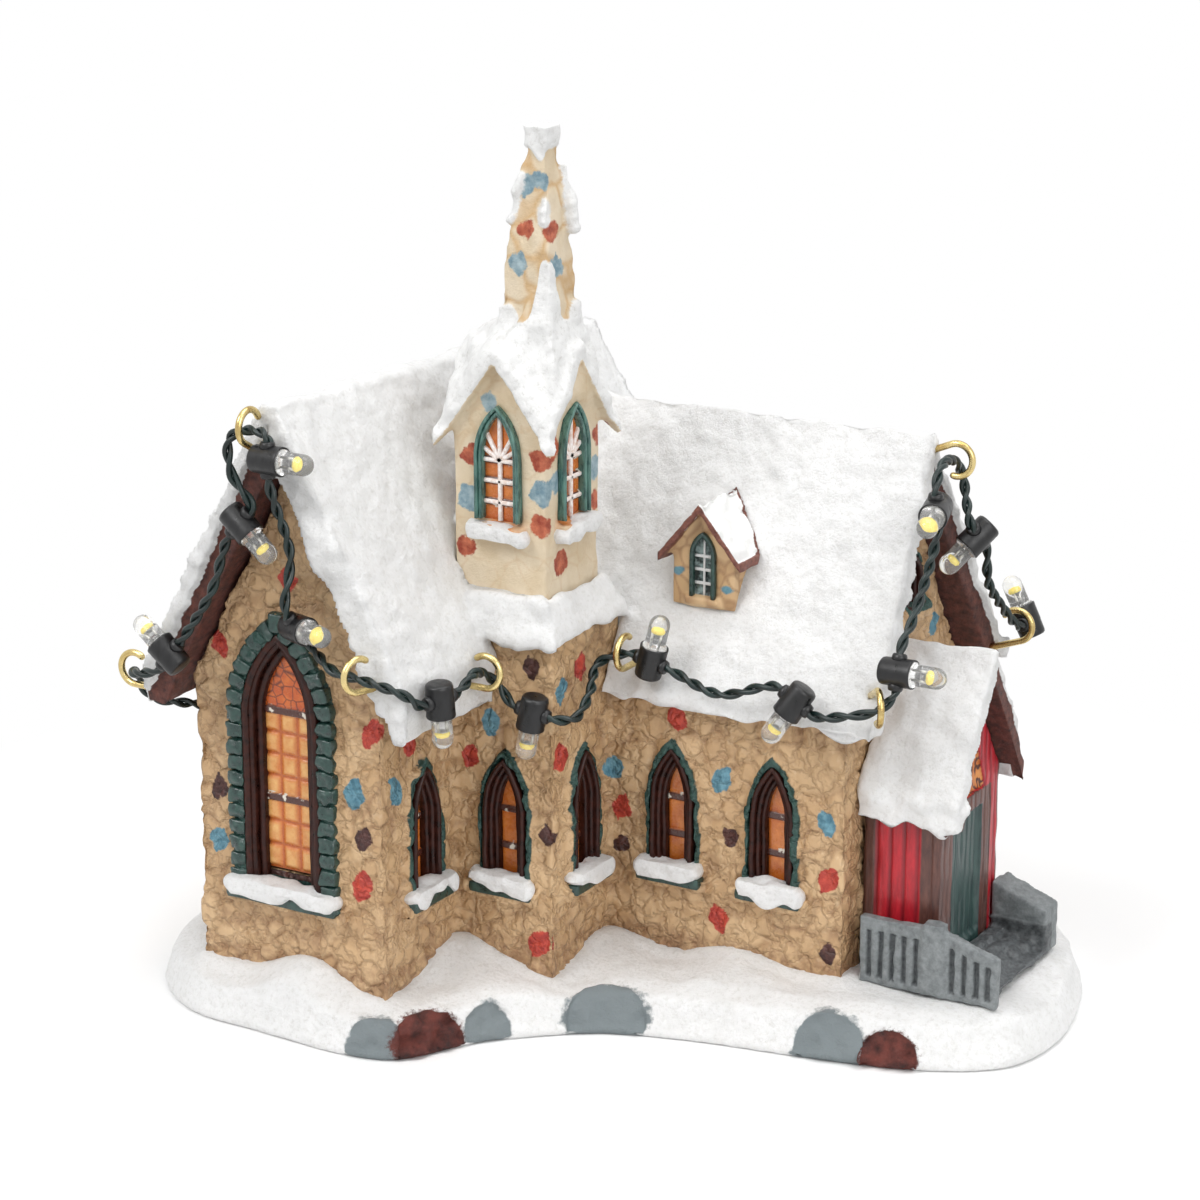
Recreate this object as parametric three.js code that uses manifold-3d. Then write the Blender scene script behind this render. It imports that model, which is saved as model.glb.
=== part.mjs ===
import * as THREE from "three";
import { mergeVertices } from "three/addons/utils/BufferGeometryUtils.js";
import Module from "manifold-3d";

// A small resin church for a christmas village, with a string of lamps hung on brass hooks.
// Millimetres. X runs east along the nave, Y runs north and Z up. The origin lies under the
// middle of the base, on the surface that the church stands on.

const wasm = await Module();
wasm.setup();

// Clearances between pieces
const seatGap = 0.3;
const wireGap = 0.5;
const pinGap = 0.1;
const railGap = 0.35;

// How far two shapes of one casting run into each other, and how far a cut runs past a face
const lap = 0.5;
const past = 1;

// Snow base: its length and width, and the points of its edge, which are stretched to them
const baseLength = 139.6;
const baseWidth = 102.7;
const baseEdge = [
  [-69.3, -34.7],
  [-60.3, -45.5],
  [-52.1, -49.1],
  [-42, -49.5],
  [-23.5, -50.2],
  [-15.1, -47.5],
  [-8, -35.6],
  [-2.2, -30.1],
  [6.5, -23.3],
  [21.8, -18.4],
  [37.8, -15.6],
  [56, -11],
  [67.2, -3.5],
  [70.3, 6],
  [69.8, 17],
  [62.6, 37.3],
  [45, 50],
  [20, 52],
  [-20, 52.5],
  [-45, 52],
  [-60, 48],
  [-67.5, 36],
  [-69.1, 0],
];
const baseEdgeSteps = 60;
const baseHeight = 8.2;
const baseHem = 1.2;
const baseHemInset = 0.6;
const baseShoulderHeight = 6.8;
const baseShoulderInset = 2.2;
const baseTopInset = 6;
const baseFloor = 4.7;

// Walls
const wallThickness = 3;
const wingWest = -56;
const wingEast = -21.3;
const wingSouth = -42;
const wingRidge = -37.3;
const naveSouth = -3;
const naveNorth = 41;
const naveEast = 38.5;
const footEast = -3.4;
const footSouth = -21;
const footTop = 62;
const footLap = 0.5;

// Roofs: the pitch of each, the height of its underside at the ridge, and its upright depth
const wingPitch = 1.87;
const wingRoofUnder = 91;
const wingRoofDepth = 12.7;
const wingRidgeWear = 2.5;
const wingRidgeFall = 3.2;
const wingOverhangSouth = 4;
const wingOverhangNorth = 5;
const wingEaveWestFoot = 50.5;
const wingEaveWestLip = 4.04;
const wingEaveEastFoot = 51.5;
const wingEaveEastLip = 2.18;
const navePitch = 1.6;
const naveRoofUnder = 83.5;
const naveRoofDepth = 9;
const naveEaveFoot = 50.5;
const naveGableReach = 3;
const naveGableLean = 3;

// Snow collar that the bell tower stands in
const collarHalf = 11.2;
const collarTopHalf = 9.2;
const collarTop = 69;
const collarFloor = 66.5;

// Bell tower, cast with its cross gables and its spire
const towerX = -13.25;
const towerY = -11.75;
const towerHalf = 8.2;
const towerEave = 94;
const towerGableRise = 11;
const towerSnowDepth = 3.4;
const towerSnowReach = 3;
const towerVerge = 2;
const towerEaveCut = 0.3;
const towerWindowSill = 80;
const towerWindowSpring = 90.5;
const towerWindowPoint = 98.5;
const towerWindowHalf = 3.8;
const towerWindowDepth = 0.9;
const towerSillReach = 1;
const spireX = -11.1;
const spireY = -11.8;
const spireLean = 0.8;
const spireFoot = 95;
const spireTop = 140.8;
const spireSteps = [
  { share: 0, half: 5.5 },
  { share: 0.109, half: 7.2 },
  { share: 0.284, half: 6 },
  { share: 0.371, half: 4.6 },
  { share: 0.535, half: 4.15 },
  { share: 0.633, half: 3.6 },
  { share: 0.764, half: 3.2 },
  { share: 0.886, half: 2.1 },
  { share: 0.926, half: 2.3 },
  { share: 1, half: 2.8 },
];

// Dormer on the nave's south slope
const dormerX = 11.2;
const dormerFace = 1;
const dormerHalf = 5.6;
const dormerFoot = 63;
const dormerEave = 73.6;
const dormerRise = 6.7;
const dormerSnow = 2;
const dormerRoofHalf = 7.4;
const dormerOverhang = 2;
const dormerDepth = 20;
const dormerWindow = { half: 2, sillOverFoot: 3.4, springUnderEave: 0.5, pointOverEave: 3.2 };
const dormerPocketDepth = 0.7;
const dormerSillHalf = 3;
const dormerSillDepth = 0.8;
const dormerSillRise = 1.2;

// Porch, its roof and the steps
const porchDepth = 13.2;
const porchMiddle = 14.5;
const porchHalf = 11;
const porchWallTop = 38.6;
const porchPitch = 1.49;
const porchRoofDepth = 5.4;
const porchEaveDepth = 4.3;
const porchRoofReach = 3.5;
const porchRoofHalf = 13.5;
const porchSill = 12.5;
const doorHalf = 4.7;
const doorTop = 33.8;
const doorDepth = 1.6;
const boardPitch = 3;
const boardGroove = 0.4;
const boardGrooveDepth = 0.5;
const boardFoot = 6;
const boardHead = 2;
const tympanumFoot = 36.4;
const tympanumPoint = 51;
const tympanumHalf = 5.7;
const railHeight = 11.1;
const railThickness = 1.6;
const railSouth = -1.3;
const stairEnd = 64;
const stairRailDrop = 3;
const stepCount = 4;
const stepTop = 11.9;
const stepFoot = 9.3;
const postWidth = 3;
const postRise = 0.9;
const parapetEast = 62;
const parapetThickness = 2.2;
const parapetTop = 19.5;
const parapetDrop = 3.4;
const slatPitch = 2;
const slatGap = 0.8;
const slatDepth = 0.5;
const slatFootRise = 1;
const slatHeadDrop = 2;
const landingInset = 2;
const postProud = 0.4;

// Window openings: middle along the wall, half width, sill, spring line and point of the surround
const surroundProud = 1;
const jambStep = 1.2;
const jambDepth = 1.4;
const paneFlange = 1.5;
const paneFlangeDepth = 1;
const paneSetBack = 2;
const barWidth = 0.9;
const barProud = 0.7;
const barLap = 0.3;
const uprightBarShare = 0.8;
const sillDepth = 1.8;
const sillRise = 2.6;
const sillReach = 2.2;
const smallWindow = { half: 4.9, sill: 20, spring: 33, point: 44, band: 1.1, bars: [0.36, 0.68] };
const bigWindow = { half: 9.8, sill: 20, spring: 50, point: 67.6, band: 3, bars: [0.37, 0.69] };
const gableWindow = { half: 4.2, sill: 63.5, spring: 67.5, point: 74, band: 1, bars: [0.5] };
const windows = [
  { name: "window_wing_south", wall: "wingSouth", middle: -39.4, shape: bigWindow },
  { name: "window_wing_north", wall: "wingNorth", middle: -39.4, shape: bigWindow },
  { name: "window_wing_east", wall: "wingEast", middle: -30.4, shape: smallWindow },
  { name: "window_foot_south", wall: "footSouth", middle: -12, shape: smallWindow },
  { name: "window_foot_east", wall: "footEast", middle: -11.4, shape: smallWindow },
  { name: "window_nave_south_1", wall: "naveSouth", middle: 8.3, shape: smallWindow },
  { name: "window_nave_south_2", wall: "naveSouth", middle: 26.2, shape: smallWindow },
  { name: "window_nave_north_1", wall: "naveNorth", middle: 4, shape: smallWindow },
  { name: "window_nave_north_2", wall: "naveNorth", middle: 24, shape: smallWindow },
  { name: "window_east_gable", wall: "naveEast", middle: 19, shape: gableWindow },
];

// Battery compartment under the nave, for two AA cells
const cellRadius = 7.1;
const cellLength = 49.2;
const cellSpacing = 0.8;
const cellSideRoom = 0.7;
const cellHeadRoom = 0.4;
const cellFootRoom = 0.5;
const nubRadius = 2.7;
const nubLength = 1.2;
const boxEastRoom = 5;
const batteryY = 19;
const batteryWall = 1.5;
const batteryFoot = 1;
const flangeDepth = 1.6;
const flangeReach = 3;
const cellSides = 20;
const nubSides = 12;
const doorPlate = 1.5;
const hingeInset = 1.9;
const hingeHeight = 2.6;
const hingePin = 0.9;
const hingeBarrel = 1.2;
const doorEdgeGap = 0.3;
const doorHeel = 0.2;
const pinReach = 1.6;
const pinSides = 24;
const gripHalf = 6;
const gripWidth = 1.5;
const gripInset = 6.5;
const gripDepth = 0.5;
const contactDepth = 0.5;
const contactHalf = 5;
const springRadius = 3.2;
const springLength = 2.7;
const bayLength = 9;
const bayHalf = 5;
const bayHeight = 9;
const slotWidth = 3.6;
const knobWidth = 3;
const knobLength = 4.4;
const knobTravel = 2.5;
const knobHeadWidth = 5.6;
const knobHeadLength = 6.6;
const knobHeadDepth = 1;
const knobLower = 0.1;
const knobRestGap = 0.1;

// Brass hooks
const hookWire = 0.55;
const hookRing = 2.6;
const hookOpening = 45;
const hookSag = 0.5;
const hookBite = 3;
const hookHole = 0.9;
const hookMouth = 2;
const hookShankAngle = 90;
const hookRingSteps = 14;
const hookSides = 6;

// Lamps and cord
const cordRadius = 1;
const cordSides = 8;
const cordSteps = 80;
const leadSteps = 18;
const socketRadius = 2.65;
const socketLength = 5.4;
const socketSides = 12;
const socketBoreSides = 10;
const lampHalfSpan = 3.4;
const ledFlangeRadius = 1.95;
const ledFlangeDepth = 0.9;
const ledRadius = 1.65;
const ledLength = 5;
const ledSeat = 0.6;
const ledSides = 10;
const domeSteps = 3;
const leadHoleX = wingWest;
const leadHoleY = -20;
const leadHoleZ = 44;

// Colours of the castings, the paint and the fittings
const paint = {
  snow: { color: 0xf1f1ee, roughness: 0.75, metalness: 0 },
  stone: { color: 0xc4a074, roughness: 0.6, metalness: 0 },
  tower: { color: 0xe2c08c, roughness: 0.45, metalness: 0 },
  dormer: { color: 0xb98f5f, roughness: 0.6, metalness: 0 },
  porch: { color: 0xb4213a, roughness: 0.4, metalness: 0 },
  steps: { color: 0x878f94, roughness: 0.6, metalness: 0 },
  amber: { color: 0xd8863a, roughness: 0.25, metalness: 0 },
  brass: { color: 0xc8af6e, roughness: 0.25, metalness: 1 },
  socket: { color: 0x2b2b2e, roughness: 0.35, metalness: 0 },
  led: { color: 0xf4f6f4, roughness: 0.05, metalness: 0 },
  cord: { color: 0x142826, roughness: 0.4, metalness: 0 },
  box: { color: 0x1c1c1e, roughness: 0.45, metalness: 0 },
  cell: { color: 0x3f6b4c, roughness: 0.3, metalness: 0.3 },
  contact: { color: 0xb9bcc0, roughness: 0.25, metalness: 1 },
};

// Solids: a closed geometry becomes a solid that can be joined to and cut from others
function solid(geometry) {
  const bare = geometry.clone();
  bare.deleteAttribute("normal");
  bare.deleteAttribute("uv");
  const merged = mergeVertices(bare, 1e-4);
  return new wasm.Manifold(
    new wasm.Mesh({
      numProp: 3,
      vertProperties: new Float32Array(merged.attributes.position.array),
      triVerts: new Uint32Array(merged.index.array),
    }),
  );
}

function geometryOf(body) {
  const mesh = body.getMesh();
  const positions = new Float32Array(mesh.numVert * 3);
  for (let i = 0; i < mesh.numVert; i++) {
    positions.set(mesh.vertProperties.subarray(i * mesh.numProp, i * mesh.numProp + 3), i * 3);
  }
  const geometry = new THREE.BufferGeometry();
  geometry.setAttribute("position", new THREE.BufferAttribute(positions, 3));
  geometry.setIndex(new THREE.BufferAttribute(new Uint32Array(mesh.triVerts), 1));
  geometry.computeVertexNormals();
  return geometry;
}

function join(...bodies) {
  return bodies.reduce((whole, body) => whole.add(body));
}

function block(west, east, south, north, foot, top) {
  const geometry = new THREE.BoxGeometry(east - west, north - south, top - foot);
  geometry.translate((west + east) / 2, (south + north) / 2, (foot + top) / 2);
  return solid(geometry);
}

// An outline of [x, z] drawn out along Y, or of [y, z] drawn out along X
function prism(outline, axis, from, to) {
  const shape = new THREE.Shape(outline.map(([u, v]) => new THREE.Vector2(u, v)));
  const geometry = new THREE.ExtrudeGeometry(shape, { depth: to - from, bevelEnabled: false });
  if (axis === "y") {
    geometry.rotateX(Math.PI / 2);
    geometry.translate(0, to, 0);
  } else {
    const turn = new THREE.Matrix4();
    turn.makeBasis(new THREE.Vector3(0, 1, 0), new THREE.Vector3(0, 0, 1), new THREE.Vector3(1, 0, 0));
    geometry.applyMatrix4(turn);
    geometry.translate(from, 0, 0);
  }
  return solid(geometry);
}

// A stack of rings with as many points each, closed by a flat cap at both ends
function ringStack(rings) {
  const count = rings[0].length;
  const positions = [];
  const faces = [];
  for (const ring of rings) {
    ring.forEach((point) => positions.push(point.x, point.y, point.z));
  }
  for (let level = 0; level < rings.length - 1; level++) {
    for (let i = 0; i < count; i++) {
      const a = level * count + i;
      const b = level * count + ((i + 1) % count);
      faces.push(a, b, b + count, a, b + count, a + count);
    }
  }
  const capOf = (ring) => THREE.ShapeUtils.triangulateShape(ring.map((p) => new THREE.Vector2(p.x, p.y)), []);
  const last = (rings.length - 1) * count;
  capOf(rings[0]).forEach(([a, b, c]) => faces.push(a, c, b));
  capOf(rings[rings.length - 1]).forEach(([a, b, c]) => faces.push(last + a, last + b, last + c));
  const geometry = new THREE.BufferGeometry();
  geometry.setAttribute("position", new THREE.Float32BufferAttribute(positions, 3));
  geometry.setIndex(faces);
  return solid(geometry);
}

function squareRing(x, y, half, height) {
  const corners = [
    [-1, -1],
    [1, -1],
    [1, 1],
    [-1, 1],
  ];
  return corners.map(([u, v]) => new THREE.Vector3(x + u * half, y + v * half, height));
}

// A round rod between two points
function rod(from, to, radius, sides) {
  const along = to.clone().sub(from);
  const geometry = new THREE.CylinderGeometry(radius, radius, along.length(), sides);
  const turn = new THREE.Quaternion().setFromUnitVectors(new THREE.Vector3(0, 1, 0), along.normalize());
  geometry.applyQuaternion(turn);
  const middle = from.clone().add(to).multiplyScalar(0.5);
  geometry.translate(middle.x, middle.y, middle.z);
  return solid(geometry);
}

function vec(x, y, z) {
  return new THREE.Vector3(x, y, z);
}

// Round wire of a given number of sides, drawn out along a curve
function wireAlong(curve, radius, sides, steps) {
  const corners = Array.from({ length: sides }, (_, i) => {
    const angle = (2 * Math.PI * i) / sides;
    return new THREE.Vector2(radius * Math.cos(angle), radius * Math.sin(angle));
  });
  const section = new THREE.Shape(corners);
  return new THREE.ExtrudeGeometry(section, { steps, extrudePath: curve, bevelEnabled: false });
}

// Heights of the undersides and the tops of the two roofs
function wingUnderAt(x, drop = 0) {
  return wingRoofUnder - drop - wingPitch * Math.abs(x - wingRidge);
}

function wingOverAt(x, rise = 0) {
  return wingRoofUnder + wingRoofDepth + rise - wingPitch * Math.abs(x - wingRidge);
}

const wingRidgeTop = wingRoofUnder + wingRoofDepth - wingRidgeWear;
const wingEaveWest = wingRidge - (wingRoofUnder - wingEaveWestFoot) / wingPitch - wingEaveWestLip;
const wingEaveEast = wingRidge + (wingRoofUnder - wingEaveEastFoot) / wingPitch + wingEaveEastLip;
const wingRoofSouth = wingSouth - wingOverhangSouth;
const wingRoofNorth = naveNorth + wingOverhangNorth;
const naveRidge = (naveSouth + naveNorth) / 2;
const naveRidgeEnd = naveEast + naveGableReach;

function naveUnderAt(y, drop = 0) {
  return naveRoofUnder - drop - navePitch * Math.abs(y - naveRidge);
}

function naveOverAt(y, rise = 0) {
  return naveRoofUnder + naveRoofDepth + rise - navePitch * Math.abs(y - naveRidge);
}

// The nave roof's east edge leans out from the ridge to the eaves
const naveEaveReach = (naveRoofUnder + naveRoofDepth - naveEaveFoot) / navePitch;

function naveEdgeAt(y) {
  return naveRidgeEnd + (naveGableLean * Math.abs(y - naveRidge)) / naveEaveReach;
}

function uprightGap(pitch) {
  return seatGap * Math.hypot(1, pitch);
}

// A pointed arch standing on its sill, drawn in by an inset all round
function archOutline({ middle, half, sill, spring, point }, inset, sillInset = inset) {
  const rise = point - spring;
  const radius = (half * half + rise * rise) / (2 * half);
  const inner = radius - inset;
  const centre = half - radius;
  const tip = Math.acos(-centre / inner);
  const arcSteps = 5;
  const side = [];
  for (let i = 0; i < arcSteps; i++) {
    const angle = (tip * i) / arcSteps;
    side.push([centre + inner * Math.cos(angle), spring + inner * Math.sin(angle)]);
  }
  const foot = sill + sillInset;
  const right = [[half - inset, foot], ...side].map(([u, v]) => [middle + u, v]);
  const left = [[half - inset, foot], ...side].reverse().map(([u, v]) => [middle - u, v]);
  return [...right, [middle, spring + inner * Math.sin(tip)], ...left];
}

// A wall's face: the axis across it, where its outer face lies and which way it looks
const faces = {
  wingSouth: { axis: "y", plane: wingSouth, out: -1 },
  wingNorth: { axis: "y", plane: naveNorth, out: 1 },
  wingEast: { axis: "x", plane: wingEast, out: 1 },
  footSouth: { axis: "y", plane: footSouth, out: -1 },
  footEast: { axis: "x", plane: footEast, out: 1 },
  naveSouth: { axis: "y", plane: naveSouth, out: -1 },
  naveNorth: { axis: "y", plane: naveNorth, out: 1 },
  naveEast: { axis: "x", plane: naveEast, out: 1 },
};

// An outline drawn on a face, from a depth behind it to a height in front of it
function onFace(face, outline, behind, front) {
  const a = face.plane - face.out * behind;
  const b = face.plane + face.out * front;
  return prism(outline, face.axis, Math.min(a, b), Math.max(a, b));
}

function rectangle(low, high, foot, top) {
  return [
    [low, foot],
    [high, foot],
    [high, top],
    [low, top],
  ];
}

// Snow base: a low mound of snow that the walls, the porch and the steps stand in
function baseRing(curve, inset, height) {
  const ring = [];
  for (let i = 0; i < baseEdgeSteps; i++) {
    const u = i / baseEdgeSteps;
    const point = curve.getPoint(u);
    const along = curve.getTangent(u);
    ring.push(vec(point.x - along.y * inset, point.y + along.x * inset, height));
  }
  return ring;
}

function wallFootprint(margin, foot, top) {
  const wing = block(wingWest - margin, wingEast + margin, wingSouth - margin, naveNorth + margin, foot, top);
  const nave = block(wingEast - margin, naveEast + margin, naveSouth - margin, naveNorth + margin, foot, top);
  const tower = block(wingEast - margin, footEast + margin, footSouth - margin, naveSouth, foot, top);
  return join(wing, nave, tower);
}

const cellPitch = 2 * cellRadius + cellSpacing;
const cellHeight = batteryFoot + doorPlate + cellFootRoom + cellRadius;
const cellTip = (cellLength + nubLength) / 2;
const batteryHalfLength = cellTip + seatGap + springLength + contactDepth + seatGap;
const batteryHalfWidth = cellPitch / 2 + cellRadius + cellSideRoom;
const batteryTop = cellHeight + cellRadius + cellHeadRoom + batteryWall;
const batteryX = naveEast - wallThickness - boxEastRoom - batteryWall - batteryHalfLength;
const batteryWest = batteryX - batteryHalfLength - batteryWall;
const batteryEast = batteryX + batteryHalfLength + batteryWall;
const batterySouth = batteryY - batteryHalfWidth - batteryWall;
const batteryNorth = batteryY + batteryHalfWidth + batteryWall;
const bayWest = batteryWest - bayLength;
const flangeTop = batteryFoot + flangeDepth;

function stretchTo(size, values) {
  return size / (Math.max(...values) - Math.min(...values));
}

function makeSnowBase() {
  const stretchX = stretchTo(baseLength, baseEdge.map(([x]) => x));
  const stretchY = stretchTo(baseWidth, baseEdge.map(([, y]) => y));
  const corners = baseEdge.map(([x, y]) => vec(x * stretchX, y * stretchY, 0));
  const curve = new THREE.CatmullRomCurve3(corners, true);
  const mound = ringStack([
    baseRing(curve, baseHemInset, 0),
    baseRing(curve, 0, baseHem),
    baseRing(curve, baseShoulderInset, baseShoulderHeight),
    baseRing(curve, baseTopInset, baseHeight),
  ]);
  const pocket = wallFootprint(seatGap, baseFloor, baseHeight + past);
  const through = block(
    bayWest - seatGap,
    batteryEast + seatGap,
    batterySouth - seatGap,
    batteryNorth + seatGap,
    -past,
    baseFloor + past,
  );
  const rebate = block(
    bayWest - flangeReach - seatGap,
    batteryEast + flangeReach + seatGap,
    batterySouth - flangeReach - seatGap,
    batteryNorth + flangeReach + seatGap,
    -past,
    flangeTop + seatGap,
  );
  return mound.subtract(pocket).subtract(through).subtract(rebate);
}

// Walls: one hollow casting of the cross wing, the nave and the tower's foot, open below
const wallFoot = baseFloor + seatGap;
const footWest = wingEast - footLap;

function makeWalls() {
  const wingDrop = uprightGap(wingPitch);
  const naveDrop = uprightGap(navePitch);
  const wingBody = prism(
    [
      [wingWest, wallFoot],
      [wingEast, wallFoot],
      [wingEast, wingUnderAt(wingEast, wingDrop)],
      [wingRidge, wingUnderAt(wingRidge, wingDrop)],
      [wingWest, wingUnderAt(wingWest, wingDrop)],
    ],
    "y",
    wingSouth,
    naveNorth,
  );
  const naveWallTop = naveEaveFoot - seatGap;
  const slopeReach = (naveUnderAt(naveRidge, naveDrop) - naveWallTop) / navePitch;
  const naveBody = prism(
    [
      [naveSouth, wallFoot],
      [naveNorth, wallFoot],
      [naveNorth, naveWallTop],
      [naveRidge + slopeReach, naveWallTop],
      [naveRidge, naveUnderAt(naveRidge, naveDrop)],
      [naveRidge - slopeReach, naveWallTop],
      [naveSouth, naveWallTop],
    ],
    "x",
    wingEast - wallThickness,
    naveEast,
  );
  const footBody = block(footWest, footEast, footSouth, naveSouth + wallThickness, wallFoot, footTop);
  const below = wallFoot - past;
  const above = wingRidgeTop;
  const t = wallThickness;
  const inWing = block(wingWest + t, wingEast - t, wingSouth + t, naveNorth - t, below, above);
  const inner = wingEast - t - past;
  const inNave = block(inner, naveEast - t, naveSouth + t, naveNorth - t, below, above);
  const inFoot = block(inner, footEast - t, footSouth + t, naveSouth + t + past, below, footTop - t);
  const eave = wingSlab(seatGap);
  let walls = join(wingBody, naveBody.subtract(eave)).add(footBody);
  walls = walls.subtract(inWing).subtract(inNave).subtract(inFoot);
  for (const window of windows) {
    const face = faces[window.wall];
    const arch = { middle: window.middle, ...window.shape };
    const sillWest = window.middle - arch.half - sillReach;
    const sillEast = window.middle + arch.half + sillReach;
    const sillTop = arch.sill + sillRise / 2;
    const recess = archOutline(arch, arch.band, sillTop - arch.sill);
    walls = walls.add(onFace(face, archOutline(arch, 0, 0), lap, surroundProud));
    const sill = rectangle(sillWest, sillEast, sillTop - sillRise, sillTop);
    walls = walls.add(onFace(face, sill, lap, sillDepth));
    walls = walls.subtract(onFace(face, recess, jambDepth, sillDepth + past));
    walls = walls.subtract(onFace(face, archOutline(arch, arch.band + jambStep), t + past, 0));
  }
  const leadHole = rod(
    vec(leadHoleX - past, leadHoleY, leadHoleZ),
    vec(leadHoleX + t + past, leadHoleY, leadHoleZ),
    cordRadius + wireGap,
    socketSides,
  );
  return walls.subtract(leadHole);
}

// Windows: an amber casting with a flange that bears on the wall from inside
function makeWindow({ wall, middle, shape }) {
  const face = faces[wall];
  const arch = { middle, ...shape };
  const edge = arch.band + jambStep;
  const plugInset = edge + seatGap;
  const flangeInset = edge - paneFlange;
  const back = wallThickness + seatGap;
  const flange = onFace(face, archOutline(arch, flangeInset), back + paneFlangeDepth, -back);
  const plug = onFace(face, archOutline(arch, plugInset), back + lap, -paneSetBack);
  const foot = arch.sill + plugInset;
  const glassHeight = arch.point - arch.sill - 2 * plugInset;
  let pane = flange.add(plug);
  const barFront = -paneSetBack + barProud;
  const barAt = (...sides) => onFace(face, rectangle(...sides), paneSetBack + barLap, barFront);
  const half = arch.half - plugInset;
  for (const share of arch.bars) {
    const height = foot + share * glassHeight;
    pane = pane.add(barAt(middle - half, middle + half, height - barWidth / 2, height + barWidth / 2));
  }
  const barTop = foot + uprightBarShare * glassHeight;
  return pane.add(barAt(middle - barWidth / 2, middle + barWidth / 2, foot, barTop));
}

// Main roof: boards and snow of the wing and the nave, with the collar round the bell tower
function wingSlab(grow = 0) {
  const outerRise = grow * Math.hypot(1, wingPitch);
  const halfTop = (wingRoofUnder + wingRoofDepth - wingRidgeTop) / wingPitch;
  const westInner = wingRidge - (wingRoofUnder - outerRise - (wingEaveWestFoot - grow)) / wingPitch;
  const eastInner = wingRidge + (wingRoofUnder - outerRise - (wingEaveEastFoot - grow)) / wingPitch;
  const west = wingEaveWest - grow;
  const east = wingEaveEast + grow;
  return prism(
    [
      [west, wingEaveWestFoot - grow],
      [westInner, wingEaveWestFoot - grow],
      [wingRidge, wingUnderAt(wingRidge, outerRise)],
      [eastInner, wingEaveEastFoot - grow],
      [east, wingEaveEastFoot - grow],
      [east, wingOverAt(east, outerRise)],
      [wingRidge + halfTop, wingRidgeTop + grow],
      [wingRidge - halfTop, wingRidgeTop + grow],
      [west, wingOverAt(west, outerRise)],
    ],
    "y",
    wingRoofSouth - grow,
    wingRoofNorth + grow,
  );
}

function naveSlab() {
  const innerReach = (naveRoofUnder - naveEaveFoot) / navePitch;
  const outline = [
    [naveRidge - naveEaveReach, naveEaveFoot],
    [naveRidge - innerReach, naveEaveFoot],
    [naveRidge, naveRoofUnder],
    [naveRidge + innerReach, naveEaveFoot],
    [naveRidge + naveEaveReach, naveEaveFoot],
    [naveRidge, naveRoofUnder + naveRoofDepth],
  ];
  const shape = new THREE.Shape(outline.map(([u, v]) => new THREE.Vector2(u, v)));
  const depth = naveRidgeEnd - wingRidge;
  const geometry = new THREE.ExtrudeGeometry(shape, { depth, bevelEnabled: false });
  const turn = new THREE.Matrix4();
  turn.makeBasis(vec(0, 1, 0), vec(0, 0, 1), vec(1, 0, 0));
  geometry.applyMatrix4(turn);
  geometry.translate(wingRidge, 0, 0);
  const position = geometry.attributes.position;
  for (let i = 0; i < position.count; i++) {
    if (position.getX(i) > wingRidge + depth / 2) {
      position.setX(i, naveEdgeAt(position.getY(i)));
    }
  }
  return solid(geometry);
}

function makeMainRoof() {
  const attic = prism(
    [
      [wingWest, 0],
      [wingEaveEast, 0],
      [wingEaveEast, wingUnderAt(wingEaveEast)],
      [wingRidge, wingRoofUnder],
      [wingWest, wingUnderAt(wingWest)],
    ],
    "y",
    wingRoofSouth - past,
    wingRoofNorth + past,
  );
  const collarX = (wingEast + footEast) / 2;
  const collarY = (footSouth + naveSouth) / 2;
  const collarFoot = footTop + seatGap;
  const collar = ringStack([
    squareRing(collarX, collarY, collarHalf, collarFoot),
    squareRing((collarX + towerX) / 2, (collarY + towerY) / 2, collarHalf, (collarFoot + collarFloor) / 2),
    squareRing(towerX, towerY, collarTopHalf, collarTop),
  ]);
  const footCut = block(
    footWest - seatGap,
    footEast + seatGap,
    footSouth - seatGap,
    naveSouth + wallThickness + seatGap,
    wingEaveEastFoot - past,
    collarFoot,
  );
  const reach = towerHalf + seatGap;
  const towerCut = block(
    towerX - reach,
    towerX + reach,
    towerY - reach,
    towerY + reach,
    collarFloor,
    towerEave,
  );
  const overRidge = prism(
    [
      [wingRoofSouth, wingRidgeTop],
      [wingRoofNorth, wingRidgeTop - wingRidgeFall],
      [wingRoofNorth, wingRidgeTop + past],
      [wingRoofSouth, wingRidgeTop + past],
    ],
    "x",
    wingEaveWest,
    wingEaveEast,
  );
  const east = naveSlab().subtract(footCut).add(collar).subtract(attic);
  const roof = join(wingSlab().subtract(footCut), east).subtract(overRidge).subtract(towerCut);
  return cutHookHoles(roof);
}

// Bell tower: one casting of the belfry, its crossed gables, their snow and the spire
const towerFoot = collarFloor + seatGap;

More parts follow.
